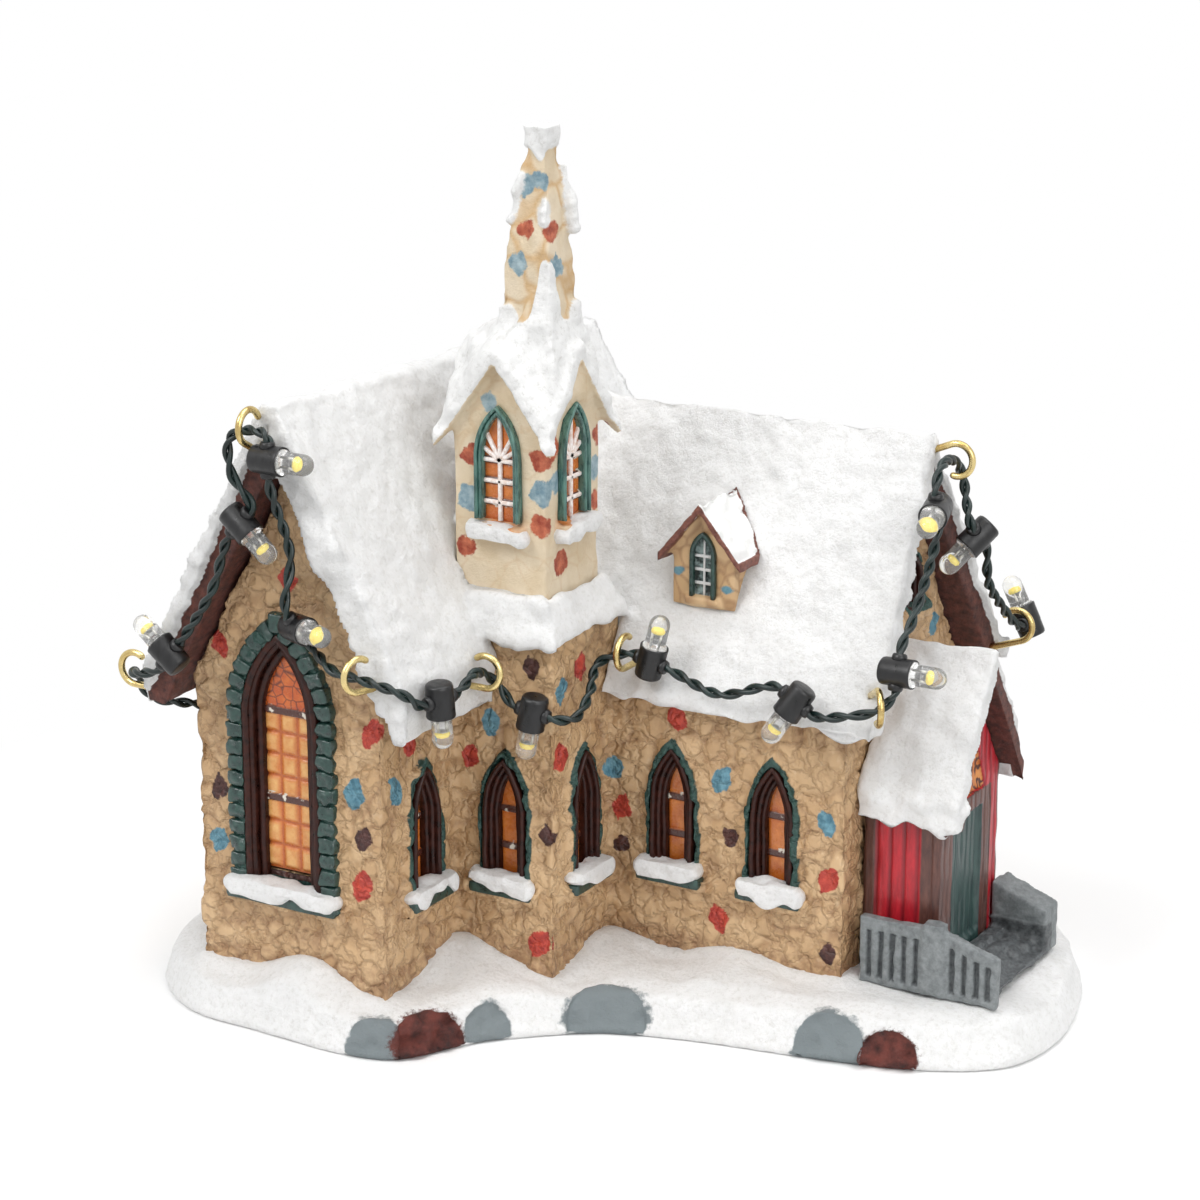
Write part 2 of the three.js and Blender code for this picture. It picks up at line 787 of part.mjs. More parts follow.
function makeBellTower() {
  const x = towerX;
  const y = towerY;
  const half = towerHalf;
  const body = block(x - half, x + half, y - half, y + half, towerFoot, towerEave);
  const pitch = towerGableRise / half;
  const wide = half + towerSnowReach;
  const snowFoot = towerEave - towerSnowReach * pitch;
  const gable = (middle) => [
    [middle - half, towerEave - lap],
    [middle + half, towerEave - lap],
    [middle + half, towerEave],
    [middle, towerEave + towerGableRise],
    [middle - half, towerEave],
  ];
  const snow = (middle) => [
    [middle - wide, snowFoot],
    [middle - half, towerEave],
    [middle, towerEave + towerGableRise],
    [middle + half, towerEave],
    [middle + wide, snowFoot],
    [middle + wide, snowFoot + towerSnowDepth],
    [middle, towerEave + towerGableRise + towerSnowDepth],
    [middle - wide, snowFoot + towerSnowDepth],
  ];
  const underGable = (middle) => [
    [middle - wide, snowFoot + towerEaveCut],
    [middle - wide, snowFoot - past],
    [middle + wide, snowFoot - past],
    [middle + wide, snowFoot + towerEaveCut],
    [middle, towerEave + towerGableRise + towerEaveCut],
  ];
  const sides = [
    { axis: "y", plane: y - half, out: -1, middle: x },
    { axis: "y", plane: y + half, out: 1, middle: x },
    { axis: "x", plane: x + half, out: 1, middle: y },
    { axis: "x", plane: x - half, out: -1, middle: y },
  ];
  let roofs = join(
    prism(gable(x), "y", y - half, y + half),
    prism(gable(y), "x", x - half, x + half),
    prism(snow(x), "y", y - half - towerVerge, y + half + towerVerge),
    prism(snow(y), "x", x - half - towerVerge, x + half + towerVerge),
  );
  // Each roof's eaves would run across the other's gables, so they are cut off there
  for (const side of sides) {
    roofs = roofs.subtract(onFace(side, underGable(side.middle), 0, towerSnowReach + past));
  }
  const spire = ringStack(
    spireSteps.map(({ share, half: side }) => {
      const height = spireFoot + share * (spireTop - spireFoot);
      return squareRing(spireX + spireLean * share, spireY, side, height);
    }),
  );
  let tower = join(body, roofs, spire);
  const opening = {
    half: towerWindowHalf,
    sill: towerWindowSill,
    spring: towerWindowSpring,
    point: towerWindowPoint,
  };
  for (const side of sides) {
    const arch = { ...opening, middle: side.middle };
    const sill = rectangle(
      side.middle - opening.half - towerSillReach,
      side.middle + opening.half + towerSillReach,
      opening.sill - sillRise,
      opening.sill,
    );
    tower = tower.subtract(onFace(side, archOutline(arch, 0, 0), towerWindowDepth, past));
    tower = tower.add(onFace(side, sill, lap, sillDepth));
  }
  return tower;
}

// Dormer: a small gabled window standing on the nave's south slope
function makeDormer() {
  const back = dormerFace + dormerDepth;
  const pitch = dormerRise / dormerHalf;
  const spread = dormerRoofHalf - dormerHalf;
  const wall = prism(
    [
      [dormerX - dormerHalf, dormerFoot],
      [dormerX + dormerHalf, dormerFoot],
      [dormerX + dormerHalf, dormerEave],
      [dormerX, dormerEave + dormerRise],
      [dormerX - dormerHalf, dormerEave],
    ],
    "y",
    dormerFace,
    back,
  );
  const eave = dormerEave - spread * pitch;
  const snow = prism(
    [
      [dormerX - dormerRoofHalf, eave],
      [dormerX - dormerHalf, dormerEave],
      [dormerX, dormerEave + dormerRise],
      [dormerX + dormerHalf, dormerEave],
      [dormerX + dormerRoofHalf, eave],
      [dormerX + dormerRoofHalf, eave + dormerSnow],
      [dormerX, dormerEave + dormerRise + dormerSnow],
      [dormerX - dormerRoofHalf, eave + dormerSnow],
    ],
    "y",
    dormerFace - dormerOverhang,
    back,
  );
  const slope = prism(
    [
      [naveSouth, naveOverAt(naveSouth, uprightGap(navePitch))],
      [naveSouth, 0],
      [naveNorth, 0],
      [naveNorth, naveOverAt(naveRidge, uprightGap(navePitch))],
      [naveRidge, naveOverAt(naveRidge, uprightGap(navePitch))],
    ],
    "x",
    dormerX - dormerDepth,
    dormerX + dormerDepth,
  );
  const window = { axis: "y", plane: dormerFace, out: -1 };
  const arch = {
    middle: dormerX,
    half: dormerWindow.half,
    sill: dormerFoot + dormerWindow.sillOverFoot,
    spring: dormerEave - dormerWindow.springUnderEave,
    point: dormerEave + dormerWindow.pointOverEave,
  };
  const pocket = onFace(window, archOutline(arch, 0, 0), dormerPocketDepth, past);
  const sillFoot = arch.sill - dormerSillRise;
  const sill = rectangle(dormerX - dormerSillHalf, dormerX + dormerSillHalf, sillFoot, arch.sill);
  return wall.add(snow).subtract(slope).subtract(pocket).add(onFace(window, sill, lap, dormerSillDepth));
}

// Porch: a gabled block against the nave's east wall, with its door and tympanum cast in
const porchWest = naveEast + seatGap;
const porchEast = porchWest + porchDepth;
const porchSouth = porchMiddle - porchHalf;
const porchNorth = porchMiddle + porchHalf;
const porchFoot = baseHeight + seatGap;

function makePorch() {
  const body = prism(
    [
      [porchSouth, porchFoot],
      [porchNorth, porchFoot],
      [porchNorth, porchWallTop],
      [porchMiddle, porchWallTop + porchPitch * porchHalf],
      [porchSouth, porchWallTop],
    ],
    "x",
    porchWest,
    porchEast,
  );
  const front = { axis: "x", plane: porchEast, out: 1 };
  const side = { axis: "y", plane: porchSouth, out: -1 };
  const doorway = rectangle(porchMiddle - doorHalf, porchMiddle + doorHalf, porchSill, doorTop);
  const tympanum = [
    [porchMiddle - tympanumHalf, tympanumFoot],
    [porchMiddle + tympanumHalf, tympanumFoot],
    [porchMiddle, tympanumPoint],
  ];
  let porch = body
    .subtract(onFace(front, doorway, doorDepth, past))
    .subtract(onFace(front, tympanum, doorDepth / 2, past));
  const grooveHalf = boardGroove / 2;
  for (let x = porchWest + boardPitch; x < porchEast - boardPitch / 2; x += boardPitch) {
    const groove = rectangle(x - grooveHalf, x + grooveHalf, porchFoot + boardFoot, porchWallTop - boardHead);
    porch = porch.subtract(onFace(side, groove, boardGrooveDepth, past));
  }
  return porch;
}

function makePorchRoof() {
  const drop = uprightGap(porchPitch);
  const ridgeUnder = porchWallTop + porchPitch * porchHalf + drop;
  const eaveUnder = ridgeUnder - porchPitch * porchRoofHalf;
  return prism(
    [
      [porchMiddle - porchRoofHalf, eaveUnder],
      [porchMiddle, ridgeUnder],
      [porchMiddle + porchRoofHalf, eaveUnder],
      [porchMiddle + porchRoofHalf, eaveUnder + porchEaveDepth],
      [porchMiddle, ridgeUnder + porchRoofDepth],
      [porchMiddle - porchRoofHalf, eaveUnder + porchEaveDepth],
    ],
    "x",
    porchWest,
    porchEast + porchRoofReach,
  );
}

// Steps: the stair before the porch door with its south railing and its north parapet
function makePorchSteps() {
  const stepWest = porchEast + seatGap;
  const stepNorth = porchNorth + seatGap;
  const stepSouth = railSouth + railThickness;
  const parapetWest = porchEast + past;
  const tread = (parapetEast - stepWest) / stepCount;
  const riser = (stepTop - stepFoot) / (stepCount - 1);
  const bodies = [];
  for (let i = 0; i < stepCount; i++) {
    const east = parapetEast - i * tread;
    const top = stepFoot + i * riser;
    bodies.push(block(stepWest, east, stepSouth - lap, stepNorth + lap, porchFoot, top));
  }
  const railTop = porchFoot + railHeight;
  const stairFoot = porchEast + postWidth;
  const north = railSouth + railThickness;
  const landingWest = porchWest + landingInset;
  const postTop = railTop + postRise;
  bodies.push(block(landingWest, porchEast, railSouth, north, porchFoot, railTop));
  const landingNorth = porchSouth - seatGap;
  bodies.push(block(landingWest, stepWest + past, railSouth + lap, landingNorth, porchFoot, stepFoot));
  const postSouth = railSouth - postProud;
  bodies.push(block(porchEast - lap, stairFoot, postSouth, north + postProud, porchFoot, postTop));
  bodies.push(
    prism(
      [
        [stairFoot - lap, porchFoot],
        [stairEnd, porchFoot],
        [stairEnd, railTop - stairRailDrop],
        [stairFoot - lap, railTop],
      ],
      "y",
      railSouth,
      north,
    ),
  );
  bodies.push(
    prism(
      [
        [parapetWest, porchFoot],
        [parapetEast, porchFoot],
        [parapetEast, parapetTop - parapetDrop],
        [parapetWest, parapetTop],
      ],
      "y",
      stepNorth,
      stepNorth + parapetThickness,
    ),
  );
  let steps = join(...bodies);
  const face = { axis: "y", plane: railSouth, out: -1 };
  const frame = slatPitch / 2;
  const slatFoot = porchFoot + slatFootRise;
  const slatTop = railTop - slatHeadDrop;
  for (let x = landingWest + frame; x + slatGap < porchEast - frame; x += slatPitch) {
    steps = steps.subtract(onFace(face, rectangle(x, x + slatGap, slatFoot, slatTop), slatDepth, past));
  }
  for (let x = stairFoot + frame; x + slatGap < stairEnd - frame; x += slatPitch) {
    const top = slatTop - (stairRailDrop * (x - stairFoot)) / (stairEnd - stairFoot);
    steps = steps.subtract(onFace(face, rectangle(x, x + slatGap, slatFoot, top), slatDepth, past));
  }
  return steps;
}

// Battery box: a tray let into the base from below, with a bay for the switch at its west end
const hingeY = batteryY - batteryHalfWidth + hingeInset;
const bayMiddle = (bayWest + batteryWest) / 2;
const bayMouthHeight = (flangeTop + bayHeight) / 2;
const knobRest = batteryY - knobTravel / 2;

function makeBatteryBox() {
  const wall = batteryWall;
  const flange = block(
    bayWest - flangeReach,
    batteryEast + flangeReach,
    batterySouth - flangeReach,
    batteryNorth + flangeReach,
    batteryFoot,
    flangeTop,
  );
  const shell = block(batteryWest, batteryEast, batterySouth, batteryNorth, batteryFoot, batteryTop);
  const room = block(
    batteryWest + wall,
    batteryEast - wall,
    batterySouth + wall,
    batteryNorth - wall,
    batteryFoot - past,
    batteryTop - wall,
  );
  const bay = block(
    bayWest,
    batteryWest + wall / 2,
    batteryY - bayHalf - wall,
    batteryY + bayHalf + wall,
    batteryFoot,
    bayHeight,
  );
  const bayRoom = block(
    bayWest + wall,
    batteryWest,
    batteryY - bayHalf,
    batteryY + bayHalf,
    flangeTop,
    bayHeight + past,
  );
  const slotHalf = (knobLength + knobTravel) / 2 + railGap;
  const slot = block(
    bayMiddle - slotWidth / 2,
    bayMiddle + slotWidth / 2,
    batteryY - slotHalf,
    batteryY + slotHalf,
    batteryFoot - past,
    flangeTop + past,
  );
  let box = join(flange, shell, bay).subtract(room).subtract(bayRoom).subtract(slot);
  const pinHole = rod(
    vec(batteryWest - past, hingeY, hingeHeight),
    vec(batteryEast + past, hingeY, hingeHeight),
    hingePin + pinGap,
    pinSides,
  );
  box = box.subtract(pinHole);
  const wireHole = rod(
    vec(bayWest - past, batteryY, bayMouthHeight),
    vec(bayWest + wall + past, batteryY, bayMouthHeight),
    cordRadius + wireGap,
    socketSides,
  );
  return box.subtract(wireHole);
}

function makeBatteryDoor() {
  const west = batteryWest + batteryWall + seatGap;
  const east = batteryEast - batteryWall - seatGap;
  const plate = block(
    west,
    east,
    hingeY - doorHeel,
    batteryNorth - batteryWall - doorEdgeGap,
    batteryFoot,
    batteryFoot + doorPlate,
  );
  const barrel = rod(vec(west, hingeY, hingeHeight), vec(east, hingeY, hingeHeight), hingeBarrel, pinSides);
  const pinWest = vec(west - pinReach, hingeY, hingeHeight);
  const pinEast = vec(east + pinReach, hingeY, hingeHeight);
  const pins = rod(pinWest, pinEast, hingePin, pinSides);
  const gripNorth = batteryNorth - gripInset;
  const gripTop = batteryFoot + gripDepth;
  const gripWest = batteryX - gripHalf;
  const gripEast = batteryX + gripHalf;
  const grip = block(gripWest, gripEast, gripNorth - gripWidth, gripNorth, batteryFoot - past, gripTop);
  return join(plate, barrel, pins).subtract(grip);
}

function makeSwitchKnob() {
  const rest = knobRest;
  const stem = block(
    bayMiddle - knobWidth / 2,
    bayMiddle + knobWidth / 2,
    rest - knobLength / 2,
    rest + knobLength / 2,
    batteryFoot + knobLower,
    flangeTop + seatGap + knobHeadDepth,
  );
  const head = block(
    bayMiddle - knobHeadWidth / 2,
    bayMiddle + knobHeadWidth / 2,
    rest - knobHeadLength / 2,
    rest + knobHeadLength / 2,
    flangeTop + knobRestGap,
    flangeTop + knobRestGap + knobHeadDepth,
  );
  return stem.add(head);
}

function makeCell(y, nubEnd) {
  const start = batteryX - nubEnd * cellTip;
  const can = start + nubEnd * cellLength;
  const body = rod(vec(start, y, cellHeight), vec(can, y, cellHeight), cellRadius, cellSides);
  const nubTip = vec(can + nubEnd * nubLength, y, cellHeight);
  const nub = rod(vec(can - nubEnd * past, y, cellHeight), nubTip, nubRadius, nubSides);
  return body.add(nub);
}

// A contact is a steel plate with a round boss where each spring bears on its cell
function contactPlate(end, south, north) {
  const outer = batteryX + end * (batteryHalfLength - seatGap);
  const inner = outer - end * contactDepth;
  return block(
    Math.min(outer, inner),
    Math.max(outer, inner),
    south,
    north,
    cellHeight - contactHalf,
    cellHeight + contactHalf,
  );
}

function springBoss(end, y, tip) {
  const root = batteryX + end * (batteryHalfLength - seatGap - contactDepth / 2);
  return rod(vec(root, y, cellHeight), vec(tip, y, cellHeight), springRadius, nubSides);
}

const cellSouth = batteryY - cellPitch / 2;
const cellNorth = batteryY + cellPitch / 2;

function makeContact(end, cells) {
  let contact = contactPlate(end, cells[0].y - contactHalf, cells[cells.length - 1].y + contactHalf);
  for (const cell of cells) {
    contact = contact.add(springBoss(end, cell.y, batteryX + end * (cellTip + seatGap)));
  }
  return contact;
}

// Hooks: where each one enters the snow, which way its shank runs in, how far its ring stands off,
// and the direction that the ring faces. The shank leaves the ring as a tangent on one side.
function naveSlopeY(height) {
  return naveRidge - (naveRoofUnder + naveRoofDepth - height) / navePitch;
}

const wingHookX = -18.9;
const wingHookRise = 5.9;
const slopeHookRise = 5.3;
const slopeHookProud = 2.6;
const cornerHookY = -4.7;
const northHookY = 40.5;
const hooks = [
  {
    at: [wingEaveWest, wingRoofSouth + 1.5, wingEaveWestFoot + 4.5],
    along: [1, 0, 0],
    stand: 2.9,
    face: [0, 1, 0],
  },
  {
    at: [wingRidge - 1.35, wingRoofSouth, wingRidgeTop - 4.8],
    along: [0, 0.87, -0.5],
    stand: 4,
    face: [-1, 0, 0],
  },
  {
    at: [wingHookX, wingRoofSouth, wingUnderAt(wingHookX) + wingHookRise],
    along: [0.3, 0.954, 0],
    stand: 3.7,
    face: [-0.954, 0.3, 0],
  },
  {
    at: [wingEaveEast, wingRoofSouth + 18.15, wingEaveEastFoot + 7],
    along: [-1, 0, 0],
    stand: 2.9,
    face: [0, -1, 0],
  },
  {
    at: [2.2, naveSlopeY(naveEaveFoot + slopeHookRise), naveEaveFoot + slopeHookRise + slopeHookProud],
    along: [0, 1, 0],
    stand: 4.1,
    face: [-1, 0, 0],
  },
  {
    at: [naveRidgeEnd + 2.2, cornerHookY, naveOverAt(cornerHookY)],
    along: [-0.52, 0.74, -0.42],
    stand: 4.5,
    face: [0.82, 0.57, 0],
  },
  {
    at: [naveEdgeAt(naveRidge), naveRidge, naveRoofUnder + 3.7],
    along: [-0.92, 0, -0.39],
    stand: 4.7,
    face: [0, 1, 0],
  },
  {
    at: [naveEdgeAt(northHookY), northHookY, naveEaveFoot + 5],
    along: [-0.94, 0, -0.34],
    stand: 4.2,
    face: [0, -1, 0],
  },
];

function hookFrame({ at, along, stand, face }) {
  const entry = vec(...at);
  const inward = vec(...along).normalize();
  const normal = vec(...face);
  normal.addScaledVector(inward, -normal.dot(inward)).normalize();
  const side = new THREE.Vector3().crossVectors(normal, inward);
  const centre = entry.clone().addScaledVector(inward, -stand);
  const mouth = entry.clone().addScaledVector(side, hookRing);
  return { mouth, inward, side, centre };
}

function cutHookHoles(body) {
  let cut = body;
  for (const hook of hooks) {
    const { mouth, inward } = hookFrame(hook);
    const start = mouth.clone().addScaledVector(inward, -hookMouth);
    const end = mouth.clone().addScaledVector(inward, hookBite + seatGap);
    cut = cut.subtract(rod(start, end, hookHole, hookSides));
  }
  return cut;
}

function makeHook(hook) {
  const { mouth, inward, side, centre } = hookFrame(hook);
  const points = [mouth.clone().addScaledVector(inward, hookBite)];
  points.push(mouth.clone());
  for (let i = 0; i <= hookRingSteps; i++) {
    const degrees = hookShankAngle + ((360 - hookOpening - hookShankAngle) * i) / hookRingSteps;
    const angle = THREE.MathUtils.degToRad(degrees);
    const point = centre.clone().addScaledVector(inward, hookRing * Math.cos(angle));
    points.push(point.addScaledVector(side, hookRing * Math.sin(angle)));
  }
  return wireAlong(new PointCurve(points), hookWire, hookSides, points.length - 1);
}

// A smooth curve whose steps fall on its points
class PointCurve extends THREE.CatmullRomCurve3 {
  getUtoTmapping(u) {
    return u;
  }
}

// Lamps: where each socket's middle lies, which way its lens looks and how the cord crosses it
const lamps = [
  { at: [-54.9, -49.6, 60.3], lens: [-0.76, 0, 0.64], wire: [0.64, 0, 0.76] },
  { at: [-40.9, -49.4, 83.3], lens: [0.75, 0, -0.66], wire: [0.66, 0, 0.75] },
  { at: [-34.7, -50.4, 94], lens: [1, 0, 0], wire: [0, 0, -1] },
  { at: [-32.2, -47.5, 67.5], lens: [0.926, -0.377, 0.02], wire: [0.3, 0.5, -0.8] },
  { at: [-10.9, -41.2, 57.9], lens: [0, 0.1, -1], wire: [0.3, 0.95, 0] },
  { at: [-4.1, -25.5, 52.5], lens: [-0.2, 0, -0.98], wire: [0.98, 0.1, -0.2] },
  { at: [6.9, -8, 57.6], lens: [0.24, 0, 0.97], wire: [0.97, 0, -0.24] },
  { at: [32.9, -9.5, 55.8], lens: [-0.5, -0.2, -0.8], wire: [0.8, 0, -0.5] },
  { at: [48.3, -6.3, 62], lens: [1, 0, 0], wire: [0, 0.27, 0.96] },
  { at: [48.4, 6, 84.3], lens: [0.2, -0.96, -0.18], wire: [0, -0.18, 0.98] },
  { at: [48, 23.2, 76.2], lens: [-0.5, -0.55, -0.66], wire: [0, 0.65, -0.75] },
  { at: [48, 44.6, 56.6], lens: [-0.45, 0, 0.89], wire: [0, 1, -0.1] },
];

function lampFrame({ at, lens, wire }) {
  const middle = vec(...at);
  const ahead = vec(...lens).normalize();
  const across = vec(...wire);
  across.addScaledVector(ahead, -across.dot(ahead)).normalize();
  return { middle, ahead, across };
}

const ledSeatDepth = ledFlangeDepth + seatGap;

function makeSocket(lamp) {
  const { middle, ahead, across } = lampFrame(lamp);
  const front = middle.clone().addScaledVector(ahead, socketLength / 2);
  const rear = middle.clone().addScaledVector(ahead, -socketLength / 2);
  const seat = front.clone().addScaledVector(ahead, -ledSeatDepth + ledSeat / 2);
  const over = front.clone().addScaledVector(ahead, past);
  const span = socketRadius + past;
  const left = middle.clone().addScaledVector(across, -span);
  const right = middle.clone().addScaledVector(across, span);
  return rod(rear, front, socketRadius, socketSides)
    .subtract(rod(seat, over, ledFlangeRadius + seatGap, socketSides))
    .subtract(rod(left, right, cordRadius + wireGap, socketBoreSides));
}

function makeLed(lamp) {
  const { middle, ahead } = lampFrame(lamp);
  const base = socketLength / 2 - ledSeatDepth + ledSeat / 2 + seatGap;
  const shoulder = base + ledFlangeDepth;
  const crown = shoulder + ledLength - ledRadius;
  const profile = [
    new THREE.Vector2(0, base),
    new THREE.Vector2(ledFlangeRadius, base),
    new THREE.Vector2(ledFlangeRadius, shoulder),
    new THREE.Vector2(ledRadius, shoulder),
  ];
  for (let i = 0; i < domeSteps; i++) {
    const angle = (Math.PI / 2) * (i / domeSteps);
    profile.push(new THREE.Vector2(ledRadius * Math.cos(angle), crown + ledRadius * Math.sin(angle)));
  }
  profile.push(new THREE.Vector2(0, crown + ledRadius));
  const geometry = new THREE.LatheGeometry(profile, ledSides);
  geometry.applyQuaternion(new THREE.Quaternion().setFromUnitVectors(vec(0, 1, 0), ahead));
  geometry.translate(middle.x, middle.y, middle.z);
  return solid(geometry);
}

// Cord of the lamps: it leaves the wing's west wall, hangs in the hooks and ends in the last lamp
const exitStart = leadHoleX + (wallThickness - seatGap) / 2;
const cordRoute = [
  [exitStart, leadHoleY, leadHoleZ],
  [-58.5, -20.4, 44.1],
  [-59.3, -28.5, 45.4],
  [-61.2, -37.2, 47.9],
  [-65.8, -40.8, 49.4],
  [-67.4, -41.9, 52.6],
  "hook 0",
  [-63.2, -47.9, 55.6],
  "lamp 0",
  [-46.5, -49.5, 72],
  "lamp 1",
  [-41.5, -50.3, 91],
  [-41.6, -50.3, 96.5],
  "hook 1",
  "lamp 2",
  [-32.9, -47.9, 79],
  "lamp 3",
  [-25, -48.4, 62],
  "hook 2",
  [-13, -48.4, 60.4],
  "lamp 4",
  [-9.9, -33, 59.9],
  "hook 3",
  [-10.3, -25.2, 55.8],
  "lamp 5",
  [1.4, -22.3, 51.4],
  [0.4, -15.8, 53.6],
  [-1.1, -10.4, 56.8],
  "lamp 6",
  [19.5, -9, 54.6],
  "lamp 7",
  [41.4, -9.5, 54.8],
  [45.8, -8.2, 56],
  "lamp 8",
  [48.2, -0.9, 69],
  "lamp 9",
  [47.8, 9.2, 90.6],
  "hook 6",
  [45.6, 22.2, 85.2],
  "lamp 10",
  [47.8, 28.2, 67.5],
  [47.9, 34, 61.8],
  "lamp 11",
];

function cordPoints() {
  const points = [];
  cordRoute.forEach((entry, place) => {
    if (Array.isArray(entry)) {
      points.push(vec(...entry));
      return;
    }
    const [kind, number] = entry.split(" ");
    if (kind === "hook") {
      points.push(hookFrame(hooks[number]).centre.sub(vec(0, 0, hookSag)));
      return;
    }
    const { middle, across } = lampFrame(lamps[number]);
    points.push(middle.clone().addScaledVector(across, -lampHalfSpan));
    const onward = place === cordRoute.length - 1 ? socketRadius - seatGap : lampHalfSpan;
    points.push(middle.clone().addScaledVector(across, onward));
  });
  return points;
}

function makeCord() {
  const points = cordPoints();
  return wireAlong(new THREE.CatmullRomCurve3(points), cordRadius, cordSides, cordSteps);
}

// Lead inside the church, from the switch bay up the wing's west wall to the exit hole
function makeLead() {
  const clear = cordRadius + wireGap + seatGap;
  const wallFace = wingWest + wallThickness + clear;
  const bayMouth = bayWest + batteryWall / 2;
  const holeFace = leadHoleX + wallThickness;
  const points = [
    vec(bayMouth, batteryY, bayMouthHeight),
    vec(bayMouth - 3, batteryY, bayMouthHeight),
    vec(bayMouth - 7, batteryY - 3, bayMouthHeight + 2),
    vec(wallFace + 1, batteryY - 12, bayMouthHeight + 8),
    vec(wallFace, batteryY - 20, bayMouthHeight + 16),
    vec(wallFace, batteryY - 29, bayMouthHeight + 26),
    vec(wallFace + 0.5, leadHoleY + 3, leadHoleZ - 5),
    vec(wallFace + 0.5, leadHoleY + 0.6, leadHoleZ - 0.9),
    vec(holeFace, leadHoleY, leadHoleZ),
    vec(exitStart + seatGap, leadHoleY, leadHoleZ),
  ];
  return wireAlong(new THREE.CatmullRomCurve3(points), cordRadius, cordSides, leadSteps);
}

// Assembly
const church = new THREE.Group();

function place(name, shape, finish) {
  const geometry = shape.isBufferGeometry ? shape : geometryOf(shape);
  const mesh = new THREE.Mesh(geometry, new THREE.MeshStandardMaterial({ ...finish }));
  mesh.name = name;
  church.add(mesh);
}

place("snow_base", makeSnowBase(), paint.snow);
place("church_walls", makeWalls(), paint.stone);
place("main_roof", makeMainRoof(), paint.snow);
place("bell_tower", makeBellTower(), paint.tower);
place("roof_dormer", makeDormer(), paint.dormer);
place("porch", makePorch(), paint.porch);
place("porch_roof", makePorchRoof(), paint.snow);
place("porch_steps", makePorchSteps(), paint.steps);
for (const window of windows) {
  place(window.name, makeWindow(window), paint.amber);
}
place("battery_box", makeBatteryBox(), paint.box);
place("battery_door", makeBatteryDoor(), paint.box);
place("switch_knob", makeSwitchKnob(), paint.box);
place("cell_1", makeCell(cellSouth, 1), paint.cell);
place("cell_2", makeCell(cellNorth, -1), paint.cell);
place("contact_bridge", makeContact(1, [{ y: cellSouth }, { y: cellNorth }]), paint.contact);
place("contact_negative", makeContact(-1, [{ y: cellSouth }]), paint.contact);
place("contact_positive", makeContact(-1, [{ y: cellNorth }]), paint.contact);
hooks.forEach((hook, i) => place("hook_" + (i + 1), makeHook(hook), paint.brass));
lamps.forEach((lamp, i) => {
  place("lamp_socket_" + (i + 1), makeSocket(lamp), paint.socket);
  place("lamp_led_" + (i + 1), makeLed(lamp), paint.led);
});
place("light_string", makeCord(), paint.cord);
place("lead_inner", makeLead(), paint.cord);

export default church;
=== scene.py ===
import math

import bmesh
import bpy
import numpy as np
from mathutils import Matrix, Vector


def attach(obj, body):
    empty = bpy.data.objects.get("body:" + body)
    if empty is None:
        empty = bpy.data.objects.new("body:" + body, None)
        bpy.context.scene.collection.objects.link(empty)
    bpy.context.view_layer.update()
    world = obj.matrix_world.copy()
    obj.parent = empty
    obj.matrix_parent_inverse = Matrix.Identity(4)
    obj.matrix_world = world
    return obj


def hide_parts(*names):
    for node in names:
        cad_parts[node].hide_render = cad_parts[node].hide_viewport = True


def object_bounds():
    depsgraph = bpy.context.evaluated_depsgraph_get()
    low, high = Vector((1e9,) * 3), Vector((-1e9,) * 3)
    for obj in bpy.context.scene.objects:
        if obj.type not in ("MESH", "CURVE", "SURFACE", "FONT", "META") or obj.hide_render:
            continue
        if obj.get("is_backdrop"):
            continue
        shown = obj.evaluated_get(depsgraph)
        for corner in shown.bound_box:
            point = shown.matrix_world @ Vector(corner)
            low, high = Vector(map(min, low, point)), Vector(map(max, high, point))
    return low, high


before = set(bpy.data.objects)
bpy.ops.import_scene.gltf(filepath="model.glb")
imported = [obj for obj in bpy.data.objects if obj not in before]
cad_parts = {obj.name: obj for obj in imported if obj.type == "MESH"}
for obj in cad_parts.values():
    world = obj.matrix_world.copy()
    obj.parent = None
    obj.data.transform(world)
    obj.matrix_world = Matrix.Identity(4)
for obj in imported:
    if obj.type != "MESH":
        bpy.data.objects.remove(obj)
cad_low, cad_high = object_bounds()

# Camera: a long lens that looks a little down on the corner between the wing and the nave, as in
# the catalogue picture of the church.
camera_data = bpy.data.cameras.new("camera")
camera_data.lens = 99.0
camera_data.sensor_width = 36.0
camera_data.clip_start = 0.01
camera_data.clip_end = 20.0
camera = bpy.data.objects.new("camera", camera_data)
bpy.context.scene.collection.objects.link(camera)
bpy.context.scene.camera = camera
CAMERA_LOOKS_AT, CAMERA_AWAY = Vector((-0.0095, 0.0045, 0.062)), 0.532
turn, rise = math.radians(30.0), math.radians(16.5)
backward = Vector((math.sin(turn) * math.cos(rise), -math.cos(turn) * math.cos(rise), math.sin(rise)))
camera.location = CAMERA_LOOKS_AT + backward * CAMERA_AWAY
camera.rotation_mode = "QUATERNION"
camera.rotation_quaternion = (-backward).to_track_quat("-Z", "Y")


